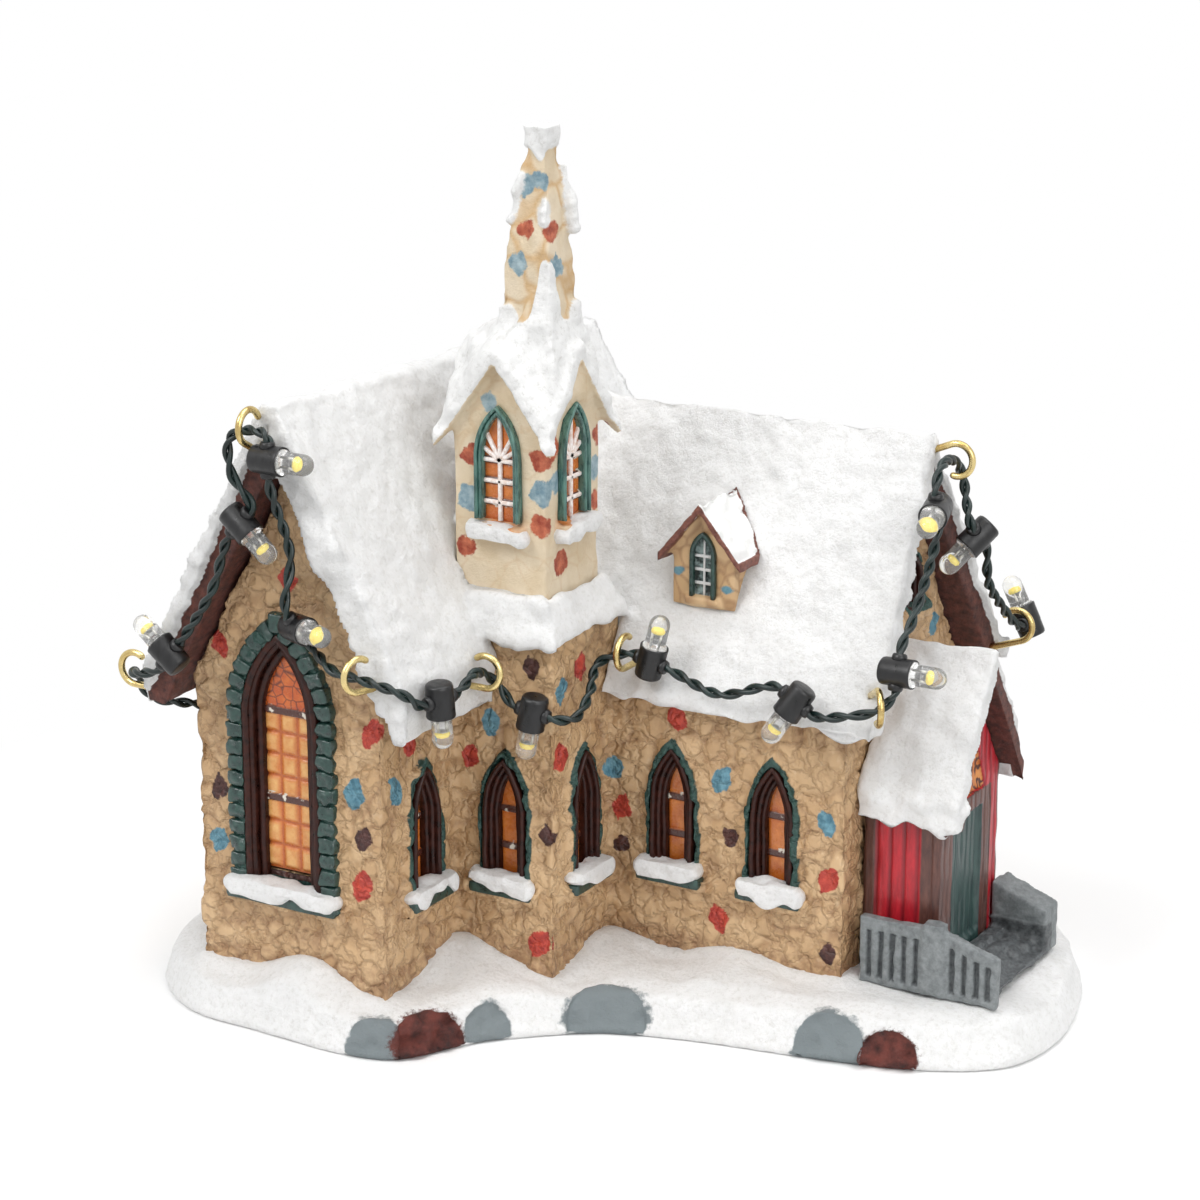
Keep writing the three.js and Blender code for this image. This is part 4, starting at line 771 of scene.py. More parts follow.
for reach, which, rocks, chips in ((rock_reach, rock, BOULDERS, 0.5), (bark_reach, bark, BARK, 1.1)):
    own_rock = np.array(rocks)[which]
    centres, halves = own_rock[:, :3], own_rock[:, [3, 3, 4]]
    near = np.clip((reach - 0.55) / 0.2, 0.0, 1.0) * (reach < 1.0) * (z > 0.8)
    out = (places - centres) / halves / np.maximum(reach, 0.2)[:, None] * halves
    shell = centres + out * 0.97
    places += (shell - places) * near[:, None] * 0.8
    places += facing * (chips * lumps(places, 1.6, 9) * (reach < 1.0) * (z > 0.8))[:, None]
places[:, 2] = np.maximum(places[:, 2], 0.0)
put_back(mound, places)


def brushed_coats(finish, thin, dull, bright):
    """Brush marks, crust, colour and relief of white that was brushed on in thick coats."""
    brush = finish.grain(0.0008, detail=9.0, roughness=0.8)
    crust = finish.grain(0.0035, detail=5.0, roughness=0.65)
    white = finish.mix(brush.within(0.32, 0.5), thin, finish.mix(crust.within(0.3, 0.7), dull, bright))
    return brush, crust, white, finish.relief(crust, 0.0009, 0.6, finish.relief(brush, 0.0005, 0.85))


snow = Finish("brushed_snow")
damp = snow.grain(0.009, detail=3.0)
SNOW_COATS = (ink(222, 221, 218), ink(238, 238, 237), ink(248, 248, 248))
brush, crust, snow_white, snow_relief = brushed_coats(snow, *SNOW_COATS)
snow_white = snow.mix(damp.within(0.62, 0.75) * 0.2, snow_white, ink(206, 200, 190))
boulder_share = 1.0 - (snow.painted("boulder") + (crust - 0.5) * 1.2).within(-0.12, 0.06)
snow_ground = snow.mix(boulder_share, snow_white, ink(128, 137, 140))
bark_colour = snow.mix(crust.within(0.35, 0.65), ink(44, 14, 10), ink(112, 52, 42))
bark_share = 1.0 - (snow.painted("bark") + (brush - 0.5) * 0.9).within(-0.1, 0.05)
snow_ground = snow.mix(bark_share, snow_ground, bark_colour)
brushed_snow = snow.surface(base_color=snow_ground, roughness=brush * 0.3 + 0.5, normal=snow_relief)
dress(mound, brushed_snow, {"boulder": rock_reach - 1.0, "bark": bark_reach - 1.0})
fixed(mound, "snow", "snow_base")


# Walls: one hollow resin casting of the wing, the nave and the tower's foot, painted tan, with
# carved stonework and single stones picked out in red, blue and dark brown.
def laid_stones(places, size, seed, wander=1.3):
    """How far each place is from the joint of its stone, in millimetres, and a random tone for it."""
    random = np.random.default_rng(seed)
    middles, tones = random.uniform(0.08, 0.92, (4096, 3)), random.uniform(0.0, 1.0, 4096)
    spot = np.stack([places[:, axis] + wander * lumps(places, 3.1, seed + axis) for axis in range(3)], axis=1)
    spot = spot / size
    cell = np.floor(spot).astype(np.int64)
    first, second = np.full(len(places), 99.0), np.full(len(places), 99.0)
    owner = np.zeros(len(places), dtype=np.int64)
    for step in np.ndindex(3, 3, 3):
        corner = cell + np.array(step) - 1
        key = (corner @ np.array((73856093, 19349663, 83492791))) % 4096
        reach = np.linalg.norm((corner + middles[key] - spot) * size, axis=1)
        second = np.where(reach < first, first, np.minimum(second, reach))
        owner = np.where(reach < first, key, owner)
        first = np.minimum(first, reach)
    return (second - first) / 2, tones[owner]


def cut_away(piece, hidden):
    """Takes away the faces whose corners are all hidden."""
    shape = bmesh.new()
    shape.from_mesh(piece.data)
    gone = [face for face in shape.faces if all(hidden[corner.index] for corner in face.verts)]
    bmesh.ops.delete(shape, geom=gone, context="FACES")
    bmesh.ops.delete(shape, geom=[v for v in shape.verts if not v.link_faces], context="VERTS")
    shape.to_mesh(piece.data)
    shape.free()


WALL_KEPT = 2.3
walls_skin = even_skin("church_walls", "stone_walls", cell=0.0005, smoothing=1)
places = places_of(walls_skin)
cut_away(walls_skin, off_walls(places[:, 0], places[:, 1]) < -WALL_KEPT)
places, facing = places_of(walls_skin), facing_of(walls_skin)
x, y, z = places.T
out_of_wall = off_walls(x, y)
on_face = ease(out_of_wall, -1.2, -0.2)
stone_gap, stone_tone = laid_stones(places, (4.6, 4.6, 4.2), seed=24)
swell = 0.2 * lumps(places, 5.0, 21) + 0.2 * lumps(places, 2.0, 22) + 0.35 * lumps(places, 14.0, 23)
swell += 0.5 * (stone_tone - 0.5) - 0.4 * ease(stone_gap, 0.6, 0.0) + 0.08 * lumps(places, 1.2, 26)
on_nave_south = (np.abs(y - NAVE_SOUTH) < 1.6) & (x > FOOT_EAST + 0.5)
flute = ease(z, 44.0, 49.0) * on_nave_south * ease(lumps(places * (1, 0, 0), 9.0, 25), -0.3, 0.3)
ripple = 0.5 + 0.5 * np.cos((x + 0.5 * lumps(places, 6.0, 27)) * 2 * math.pi / 3.6)
swell = swell * (1 - 0.7 * flute) + flute * (1.1 * np.sqrt(ripple) - 0.8)
# Painted shade in the troughs of the fluted band under the nave's eaves, and a brown stain low on the walls
# by the snow.
wash = np.maximum(flute * (1.0 - ripple), 0.75 * ease(z, 13.0, 9.5))
places += facing * (swell * on_face)[:, None]
put_back(walls_skin, places)

RED_STONES = [
    (-51.1, -42.0, 60.8),
    (-37.8, -42.0, 73.1),
    (-23.0, -42.0, 50.5),
    (-25.4, -42.0, 25.2),
    (-21.3, -33.0, 46.6),
    (-18.5, -21.0, 41.4),
    (-6.1, -21.0, 12.1),
    (-3.4, -12.3, 56.3),
    (-3.4, -17.9, 42.7),
    (-1.3, -3.0, 30.2),
    (8.9, -3.0, 47.2),
    (36.0, -3.0, 25.1),
    (16.6, -3.0, 14.7),
]
BLUE_STONES = [
    (-52.7, -42.0, 27.8),
    (-26.4, -42.0, 40.1),
    (-21.3, -37.9, 40.3),
    (-14.7, -21.0, 47.8),
    (-3.4, -18.2, 54.0),
    (-2.4, -3.0, 37.0),
    (17.0, -3.0, 38.3),
    (35.3, -3.0, 34.3),
    (38.5, 28.2, 59.0),
]
BROWN_STONES = [
    (-52.3, -42.0, 36.6),
    (-24.7, -42.0, 33.1),
    (-7.1, -21.0, 57.9),
    (-4.4, -21.0, 30.7),
    (-1.3, -3.0, 23.9),
    (18.2, -3.0, 28.8),
    (36.1, -3.0, 12.7),
]


def off_stones(places, stones, seed, wide=1.95, tall=2.6):
    """How far each place lies outside the nearest painted stone, in millimetres."""
    random = np.random.default_rng(seed)
    best = np.full(len(places), 20.0)
    for stone in stones:
        lean = random.uniform(-0.5, 0.5)
        broad, high = wide * random.uniform(0.85, 1.15), tall * random.uniform(0.85, 1.15)
        off = places - np.array(stone)
        depth = np.min(np.abs(off[:, :2]), axis=1)
        across = np.where(np.abs(off[:, 0]) > np.abs(off[:, 1]), off[:, 0], off[:, 1])
        turned_u = across * math.cos(lean) + off[:, 2] * math.sin(lean)
        turned_v = -across * math.sin(lean) + off[:, 2] * math.cos(lean)
        sharp = np.abs(turned_u / broad) + np.abs(turned_v / high)
        reach = 0.6 * np.hypot(turned_u / broad, turned_v / high) + 0.4 * sharp
        best = np.minimum(best, (reach - 1.0) * min(broad, high) + 4.0 * ease(depth, 1.5, 3.0))
    return best


SMALL_WINDOW = {"half": 4.9, "sill": 20.0, "spring": 33.0, "point": 44.0, "band": 1.3}
BIG_WINDOW = {"half": 9.8, "sill": 20.0, "spring": 50.0, "point": 67.6, "band": 3.4}
GABLE_WINDOW = {"half": 4.2, "sill": 63.5, "spring": 67.5, "point": 74.0, "band": 1.1}
WINDOWS = [
    ("window_wing_south", "y", WING_SOUTH, -1, -39.4, BIG_WINDOW),
    ("window_wing_north", "y", NAVE_NORTH, 1, -39.4, BIG_WINDOW),
    ("window_wing_east", "x", WING_EAST, 1, -30.4, SMALL_WINDOW),
    ("window_foot_south", "y", FOOT_SOUTH, -1, -12.0, SMALL_WINDOW),
    ("window_foot_east", "x", FOOT_EAST, 1, -11.4, SMALL_WINDOW),
    ("window_nave_south_1", "y", NAVE_SOUTH, -1, 8.3, SMALL_WINDOW),
    ("window_nave_south_2", "y", NAVE_SOUTH, -1, 26.2, SMALL_WINDOW),
    ("window_nave_north_1", "y", NAVE_NORTH, 1, 4.0, SMALL_WINDOW),
    ("window_nave_north_2", "y", NAVE_NORTH, 1, 24.0, SMALL_WINDOW),
    ("window_east_gable", "x", NAVE_EAST, 1, 19.0, GABLE_WINDOW),
]


def off_arch(u, v, window, inset=0.0):
    """How far a place on the wall lies outside a pointed arch, or inside it where it is below zero."""
    half, sill, spring, point = (window[key] for key in ("half", "sill", "spring", "point"))
    rise = point - spring
    radius = (half * half + rise * rise) / (2 * half)
    arc = np.hypot(np.abs(u) + radius - half, np.maximum(v - spring, 0.0)) - radius
    straight = np.abs(u) - half
    side_off = np.where(v > spring, arc, straight)
    return np.maximum(side_off, sill - v) + inset


surrounds, jambs = np.full(len(places), 20.0), np.full(len(places), 20.0)
for name, axis, plane, out, middle, window in WINDOWS:
    across = places[:, 0] if axis == "y" else places[:, 1]
    depth = (places[:, 1] if axis == "y" else places[:, 0]) - plane
    on_wall = (depth * out > -1.8) & (depth * out < 2.5)
    reach = off_arch(across - middle, places[:, 2], window)
    surrounds = np.where(on_wall, np.minimum(surrounds, reach), surrounds)
    jambs = np.where(on_wall, np.minimum(jambs, reach + window["band"]), jambs)

stone = Finish("painted_stonework")
place = stone.node("TexCoord", {}, {}, "Object")
wavering = stone.grain(0.0022, detail=2.0, output=1)
bend = stone.node("VectorMath", {"operation": "SCALE"}, {0: wavering, "Scale": 0.0034})
bent = stone.node("VectorMath", {"operation": "ADD"}, {0: place, 1: bend})
facets = stone.node("TexVoronoi", {"feature": "DISTANCE_TO_EDGE"}, {"Scale": 330.0, "Vector": bent})
pores = stone.grain(0.0007, detail=6.0, roughness=0.7)
clouds = stone.grain(0.009, detail=4.0)
chisel = stone.grain(0.0016, detail=4.0)
wall_colour = stone.mix(stone.painted("tone"), ink(192, 157, 116), ink(208, 175, 134))
wall_colour = stone.mix(clouds.within(0.45, 0.7) * 0.4, wall_colour, ink(178, 142, 104))
crevice = 1.0 - (stone.painted("joint") + (chisel - 0.5) * 0.9).within(0.05, 0.45)
wall_colour = stone.mix(crevice * clouds.within(0.35, 0.6) * 0.45, wall_colour, ink(122, 84, 58))
wall_colour = stone.mix((1.0 - facets.within(0.0, 0.07)) * 0.3, wall_colour, ink(134, 94, 62))
wall_colour = stone.mix(chisel.within(0.6, 0.75) * 0.4, wall_colour, ink(222, 198, 164))
# Dark brown for the painted shade in the flute troughs and for the stain at the walls' foot.
wall_colour = stone.mix(stone.painted("wash") * chisel.within(0.35, 0.6) * 0.8, wall_colour, ink(120, 76, 46))
for mask, dark, light in (
    ("red_stones", ink(150, 42, 36), ink(204, 78, 60)),
    ("blue_stones", ink(70, 116, 134), ink(112, 158, 174)),
    ("brown_stones", ink(50, 26, 24), ink(86, 50, 44)),
):
    edge = stone.painted(mask) + (chisel - 0.5) * 1.8
    paint = stone.mix(chisel.within(0.35, 0.65), dark, light)
    wall_colour = stone.mix(1.0 - edge.within(-0.2, 0.0), wall_colour, paint)
green_edge = stone.painted("surrounds") + (pores - 0.5) * 0.4
green_paint = stone.mix(pores.within(0.3, 0.7), ink(22, 50, 46), ink(50, 84, 76))
wall_colour = stone.mix(1.0 - green_edge.within(-0.1, 0.05), wall_colour, green_paint)
jamb_edge = stone.painted("jambs") + (pores - 0.5) * 0.3
jamb_paint = stone.mix(chisel.within(0.3, 0.7), ink(40, 20, 18), ink(88, 52, 44))
wall_colour = stone.mix(1.0 - jamb_edge.within(-0.05, 0.1), wall_colour, jamb_paint)
stone_relief = stone.relief(chisel, 0.0004, 0.4, stone.relief(pores, 0.00012, 0.6))
stone_relief = stone.relief(facets.within(0.0, 0.2), 0.0006, 0.65, stone_relief)
painted_stonework = stone.surface(base_color=wall_colour, roughness=pores * 0.3 + 0.36, normal=stone_relief)
dress(
    walls_skin,
    painted_stonework,
    {
        "joint": stone_gap,
        "tone": stone_tone,
        "wash": wash,
        "red_stones": off_stones(places, RED_STONES, seed=31),
        "blue_stones": off_stones(places, BLUE_STONES, seed=32),
        "brown_stones": off_stones(places, BROWN_STONES, seed=33, wide=1.6, tall=2.3),
        "surrounds": surrounds,
        "jambs": jambs,
    },
)
fixed(walls_skin, "stonework", "church_walls")


# Windows: amber resin castings glued in from behind, with glossy dark brown mouldings stepped round
# each. All but the gable's have a green sill with snow on it, and the wing's have a ring of blocks.
def no_rocks(piece):
    """Marks a lump of brushed snow as snow all over."""
    far_off = np.full(len(piece.data.vertices), 9.0)
    mark(piece, {"boulder": far_off, "bark": far_off})


def on_wall_place(axis, plane, out, middle):
    """Turns places (across, up, out of the wall) into places in the church, in millimetres."""

    def place(local):
        local = np.asarray(local, dtype=float)
        across, up, proud = local[..., 0] + middle, local[..., 1], plane + out * local[..., 2]
        order = (across, proud, up) if axis == "y" else (proud, across, up)
        return np.stack(order, axis=-1)

    return place


def arch_path(window, inset, foot, steps=14):
    """Places (across, up) along a pointed arch, from its left foot over the point to its right foot."""
    half, spring, point = window["half"], window["spring"], window["point"]
    rise = point - spring
    radius = (half * half + rise * rise) / (2 * half)
    inner, centre = radius - inset, half - radius
    tip = math.acos(-centre / inner)
    right = [(half - inset, h) for h in np.linspace(foot, spring, 8)[:-1]]
    turns = np.linspace(0, tip, steps)
    right += [(centre + inner * math.cos(a), spring + inner * math.sin(a)) for a in turns]
    left = [(-u, v) for u, v in right]
    return np.array(left + right[-2::-1])


def swept(name, path, ups, wide, deep, material, sides=10, square=0.55):
    """A rounded bar along a path. Its section is wide across and deep along ups."""
    tangents = np.gradient(path, axis=0)
    tangents /= np.linalg.norm(tangents, axis=1, keepdims=True)
    points = []
    for place, tangent in zip(path, tangents):
        up = unit(ups - tangent * np.dot(ups, tangent))
        side = np.cross(tangent, up)
        for i in range(sides):
            angle = 2 * math.pi * (i + 0.5) / sides
            a, b = math.cos(angle), math.sin(angle)
            a, b = math.copysign(abs(a) ** square, a), math.copysign(abs(b) ** square, b)
            points.append(place + side * a * wide / 2 + up * b * deep / 2)
    return new_piece(name, np.array(points) * MM, tube_faces(len(path), sides), [material])


def pillow(sizes, seed, roundness=0.5, rough=0.2, cuts=9, grain=1.6):
    """Points and faces of a rounded lump, in millimetres about its middle."""
    shape = bmesh.new()
    bmesh.ops.create_cube(shape, size=2.0)
    bmesh.ops.subdivide_edges(shape, edges=shape.edges[:], cuts=cuts, use_grid_fill=True)
    cube = np.array([tuple(v.co) for v in shape.verts])
    faces = [tuple(v.index for v in face.verts) for face in shape.faces]
    shape.free()
    ball = cube / np.linalg.norm(cube, axis=1, keepdims=True)
    form = (cube * (1 - roundness) + ball * roundness) * (np.array(sizes) / 2)
    form += ball * (rough * lumps(form + seed * 5.3, grain, seed))[:, None]
    return form, faces


def gather(name, lumps_of, material, flip):
    """One object from several (points, faces), in millimetres."""
    points, faces = [], []
    for some_points, some_faces in lumps_of:
        start = len(points)
        points += list(some_points)
        faces += [tuple(start + i for i in (reversed(face) if flip else face)) for face in some_faces]
    return new_piece(name, np.array(points) * MM, faces, [material])


ribs = Finish("rib_brown")
rib_marks = ribs.grain(0.0013, detail=5.0)
rib_brown = ribs.surface(
    base_color=ribs.mix(rib_marks.within(0.3, 0.75), ink(26, 11, 9), ink(68, 32, 23)),
    roughness=rib_marks.within(0.3, 0.7) * 0.25 + 0.24,
    ior=1.34,
    normal=ribs.relief(rib_marks, 0.00025, 0.5),
)

amber = Finish("amber_casting")
amber_clouds = amber.grain(0.0024, detail=4.0)
amber_pits = amber.grain(0.0008, detail=5.0)
pane_colour = amber.mix(amber_clouds.within(0.3, 0.7), ink(208, 134, 66), ink(234, 184, 116))
deep_amber = amber.mix(amber_clouds.within(0.3, 0.7), ink(176, 84, 26), ink(214, 128, 56))
pane_colour = amber.mix(amber.painted("deep"), pane_colour, deep_amber)
pane_colour = amber.mix(1.0 - amber.painted("leads").within(0.15, 0.95), pane_colour, ink(204, 112, 48))
glass_place = amber.node("TexCoord", {}, {}, "Object")
crackle_cells = {"Scale": 620.0, "Vector": glass_place}
crackle_spot = amber.node("TexVoronoi", {"feature": "DISTANCE_TO_EDGE"}, crackle_cells)
crackled = amber.mix(amber_clouds.within(0.35, 0.65), ink(188, 78, 26), ink(214, 112, 44))
crackled = amber.mix(1.0 - crackle_spot.within(0.0, 0.09), crackled, ink(96, 38, 18))
pane_colour = amber.mix(amber.painted("crackled"), pane_colour, crackled)
line_share = 1.0 - (amber.painted("leads") + (amber_pits - 0.5) * 0.35).within(0.08, 0.3)
pane_colour = amber.mix(line_share * 0.8, pane_colour, ink(168, 84, 34))
bar_share = 1.0 - (amber.painted("bars") + (amber_pits - 0.5) * 0.3).within(-0.05, 0.12)
pane_colour = amber.mix(bar_share, pane_colour, ink(74, 36, 26))
dab_share = (amber.painted("dabs") + (amber_pits - 0.5) * 1.2).within(0.72, 0.85)
pane_colour = amber.mix(dab_share, pane_colour, ink(224, 216, 202))
stain_share = amber.painted("stain") * (amber_clouds.within(0.25, 0.6))
pane_colour = amber.mix(stain_share * 0.85, pane_colour, ink(182, 78, 28))
amber_casting = amber.surface(
    base_color=pane_colour,
    roughness=amber_pits.within(0.3, 0.7) * 0.25 + 0.16,
    coat_weight=0.35,
    normal=amber.relief(amber_pits, 0.00015, 0.4),
)


NO_CRACKLE = 999.0


def glazing(
    name, window, place, flip, middle, size, columns, bars, panes_high, backs, crackle_from=NO_CRACKLE
):
    """An amber sheet with a domed light between each pair of lead lines, cut to the window's arch."""
    half, foot, head = size
    step = 0.2
    us = np.arange(-half, half + step / 2, step)
    vs = np.arange(foot, head + step / 2, step)
    grid_u, grid_v = np.meshgrid(us, vs)
    u, v = grid_u.ravel(), grid_v.ravel()
    edges = [foot] + list(bars) + [head]
    column_wide = 2 * half / columns
    off_upright = np.abs((u + half) / column_wide - np.round((u + half) / column_wide)) * column_wide
    off_bar = np.min([np.abs(v - bar) for bar in bars], axis=0) if bars else np.full(len(u), 9.0)
    off_level = np.full(len(u), 9.0)
    for low, high in zip(edges[:-1], edges[1:]):
        rows = panes_high if low < crackle_from - 0.5 else 1
        high_each = (high - low) / rows
        inside = (v >= low) & (v <= high)
        near = np.abs((v - low) / high_each - np.round((v - low) / high_each)) * high_each
        off_level = np.where(inside, near, off_level)
    in_head = v > crackle_from
    leads = np.where(in_head, 9.0, np.minimum(off_upright, off_level))
    bars_off = off_bar - 0.55
    dome = 0.35 * ease(np.minimum(leads, off_bar - 0.3), 0.0, 0.7)
    relief = np.where(bars_off < 0.0, 0.55, dome)
    out_points = place(np.stack([u, v, backs + relief], axis=1))
    wide = len(us)
    faces = []
    margin = window["half"] - half - 0.3
    for row in range(len(vs) - 1):
        kept = off_arch(us[:-1] + step / 2, np.full(wide - 1, vs[row] + step / 2), window) <= -margin
        for column in np.flatnonzero(kept):
            a = row * wide + int(column)
            face = (a, a + 1, a + wide + 1, a + wide)
            faces.append(tuple(reversed(face)) if flip else face)
    sheet = new_piece(name, out_points * MM, faces, [amber_casting])
    dabs = 0.5 + 0.5 * lumps(np.stack([u, v, u * 0 + middle], axis=1), 1.1, 61)
    stain = ease(v, foot + 3.0, foot + 0.3) * 0.8
    masks = {
        "leads": leads,
        "bars": bars_off,
        "dabs": np.where(bars_off < 0.35, dabs, 0.0),
        "stain": stain,
        "deep": np.full(len(u), float(window is not BIG_WINDOW)),
        "crackled": ease(v, crackle_from - 0.4, crackle_from + 0.2),
    }
    mark(sheet, masks)
    return sheet


green = Finish("block_green")
green_marks = green.grain(0.001, detail=5.0)
block_green = green.surface(
    base_color=green.mix(green_marks.within(0.3, 0.72), ink(14, 38, 36), ink(46, 78, 70)),
    roughness=green_marks.within(0.3, 0.7) * 0.3 + 0.2,
    coat_weight=0.3,
    normal=green.relief(green_marks, 0.0002, 0.6),
)

BIG_MAKE = {
    "insets": ((3.3, 0.4), (3.9, -0.1), (5.0, -1.1)),
    "moulding": 1.3,
    "lap": 0.4,
    "head": 63.5,
    "sheet": {"columns": 3, "bars": (36.6, 51.0), "panes_high": 4, "backs": -1.7, "crackle_from": 51.4},
}
SMALL_MAKE = {
    "insets": ((1.5, 0.15), (2.2, -0.6), (2.85, -1.3)),
    "moulding": 0.85,
    "lap": 0.3,
    "head": 41.5,
    "sheet": {"columns": 1, "bars": (27.2, 33.4), "panes_high": 1, "backs": -2.0},
}
GABLE_MAKE = {
    "insets": ((1.4, 0.1), (2.1, -0.7)),
    "moulding": 0.85,
    "lap": 0.3,
    "head": 73.0,
    "sheet": {"columns": 1, "bars": (68.0,), "panes_high": 1, "backs": -2.0},
}
MOULDING_DEEP = 1.8
BLOCK_SIZES, BLOCK_STEP = (3.2, 2.6, 2.4), 2.72

for name, axis, plane, out, middle, window in WINDOWS:
    place = on_wall_place(axis, plane, out, middle)
    flip = (axis == "y") == (out > 0)
    outward = place([0.0, 0.0, 1.0]) - place([0.0, 0.0, 0.0])
    short = name.replace("window_", "")
    big = window is BIG_WINDOW
    sill_top = window["sill"] + 1.3
    make = BIG_MAKE if big else GABLE_MAKE if window is GABLE_WINDOW else SMALL_MAKE
    mouldings = []
    for inset, depth in make["insets"]:
        flat = arch_path(window, inset, sill_top - 0.3)
        wobble = 0.06 * np.sin(flat[:, 1] * 0.5 + inset * 7) + 0.04 * np.sin(flat[:, 1] * 1.1 + middle)
        path = place(np.stack([flat[:, 0] + wobble, flat[:, 1], np.full(len(flat), depth)], axis=1))
        mouldings.append(swept("moulding", path, outward, make["moulding"], MOULDING_DEEP, rib_brown))
    moulding = joined(mouldings, f"mouldings_{short}")
    fixed(moulding, "stonework")
    pane_half = window["half"] - make["insets"][-1][0] - 0.3
    size = (pane_half + make["lap"], sill_top - 0.4, make["head"])
    panes = glazing(f"panes_{short}", window, place, flip, middle, size, **make["sheet"])
    fixed(panes, "amber_glaze", name)
    if big:
        blocks = []
        ring_path = arch_path(window, 1.3, 20.5, steps=30)
        line = even_steps(np.column_stack([ring_path, np.zeros(len(ring_path))]), BLOCK_STEP)
        ways = np.gradient(line, axis=0)
        for number, (spot, way) in enumerate(zip(line, ways)):
            form, faces = pillow(BLOCK_SIZES, number + 70, roundness=0.45, rough=0.34, cuts=6, grain=1.0)
            lean = math.atan2(way[1], way[0]) - math.pi / 2
            across = form[:, 0] * math.cos(lean) - form[:, 1] * math.sin(lean) + spot[0]
            up = form[:, 0] * math.sin(lean) + form[:, 1] * math.cos(lean) + spot[1]
            blocks.append((place(np.stack([across, up, form[:, 2] + 0.35], axis=1)), faces))
        ring = gather(f"blocks_{short}", blocks, block_green, flip)
        fixed(ring, "stonework")
    if window is GABLE_WINDOW:
        continue
    reach = window["half"] + 1.8
    slab_form, slab_faces = pillow((2 * reach - 1.4, 1.7, 2.7), 5, roundness=0.2, rough=0.12, cuts=12)
    slab_points = place(slab_form + (0.0, sill_top - 0.75, 0.9))
    slab = gather(f"sill_{short}", [(slab_points, slab_faces)], block_green, flip)
    fixed(slab, "stonework")
    heap_sizes, heap_seed = (2 * reach - 1.2, 3.0, 4.2), int(abs(middle * 10)) % 97
    heap_form, heap_faces = pillow(heap_sizes, heap_seed, roundness=0.5, rough=0.6, cuts=22, grain=2.2)
    sag = 1.2 * lumps(heap_form * (1, 0, 0) + middle, 3.2, 81) * ease(heap_form[:, 1], 0.4, -0.8)
    heap_form[:, 1] += sag
    heap_points = place(heap_form + (0.0, sill_top + 0.75, 1.1))
    heap = gather(f"sill_snow_{short}", [(heap_points, heap_faces)], brushed_snow, flip)
    no_rocks(heap)
    fixed(heap, "snow")


# Main roof: the snow on the wing and the nave, cast with the boards under it. The boards show
# dark brown on the gables, below the snow, and the snow hangs over in thick lumps at the edges.
WING_RIDGE, WING_PITCH, WING_ROOF_UNDER = -37.3, 1.87, 91.0
NAVE_RIDGE, NAVE_PITCH, NAVE_ROOF_UNDER = 19.0, 1.6, 83.5
roof_skin = even_skin("main_roof", "snow_roof", cell=0.0005, smoothing=10)
places, facing = places_of(roof_skin), facing_of(roof_skin)
x, y, z = places.T
wing_above = (z - (WING_ROOF_UNDER - WING_PITCH * np.abs(x - WING_RIDGE))) / math.hypot(1, WING_PITCH)
nave_above = (z - (NAVE_ROOF_UNDER - NAVE_PITCH * np.abs(y - NAVE_RIDGE))) / math.hypot(1, NAVE_PITCH)
in_wing = (x < -14.5) | (y < -8.5)
above = np.where(in_wing, wing_above, nave_above)
gable_end = np.where(in_wing, np.abs(facing[:, 1]), np.abs(facing[:, 0]) * (x > 38))
wing_board = np.where((x > WING_RIDGE) & (y < 0), 0.4, 3.6)
nave_board = np.where(y > NAVE_RIDGE, 3.2, 1.4)
board_deep = np.where(in_wing, wing_board, nave_board)
board_deep = board_deep + 0.5 * lumps(places, 3.0, 46) + 0.25 * lumps(places, 1.3, 47)
board = np.where((above < board_deep) & (gable_end > 0.3), above - board_deep, 2.0)
white_eave = np.where(in_wing, (x > WING_RIDGE) & (z < 57.0), (y < NAVE_RIDGE) & (z < 56.0))
board = np.where((facing[:, 2] < -0.2) & (above < 2.5) & ~white_eave, -1.0, board)
snowy = ease(board, -0.6, 0.8)
swell = 0.5 * lumps(places, 7.0, 41) + 0.34 * lumps(places, 3.0, 42) + 0.2 * lumps(places, 1.5, 43)
rake = ease(gable_end, 0.3, 0.7) * snowy
swell += rake * (0.7 + 0.6 * lumps(places, 4.0, 48) + 0.35 * lumps(places, 1.8, 49))
places += facing * (swell * (0.35 + 0.65 * snowy) + 0.25 * snowy - 0.3)[:, None]
eave = np.where(in_wing, ease(z, 58.0, 51.5), ease(z, 57.0, 51.0)) * ease(facing[:, 2], -0.9, 0.2)
lobe = 1.7 * lumps(places * (1, 1, 0), 5.5, 44) + 0.8 * lumps(places * (1, 1, 0), 2.5, 45)
places[:, 2] += eave * lobe
places[:, 1] = np.clip(places[:, 1], cad_low[1] / MM + 0.1, cad_high[1] / MM - 0.1)
put_back(roof_skin, places)
roof_paint = Finish("roof_snow")
ROOF_COATS = (ink(226, 225, 222), ink(240, 240, 239), ink(249, 249, 249))
brush, _, roof_white, roof_relief = brushed_coats(roof_paint, *ROOF_COATS)
board_edge = roof_paint.painted("board") + (brush - 0.5) * 1.2
wood_grain = roof_paint.grain(0.0012, detail=5.0)
board_brown = roof_paint.mix(wood_grain.within(0.3, 0.7), ink(54, 26, 22), ink(118, 66, 54))
roof_colour = roof_paint.mix(1.0 - board_edge.within(-0.2, 0.1), roof_white, board_brown)
roof_snow = roof_paint.surface(base_color=roof_colour, roughness=brush * 0.3 + 0.45, normal=roof_relief)
dress(roof_skin, roof_snow, {"board": board})
fixed(roof_skin, "snow", "main_roof")


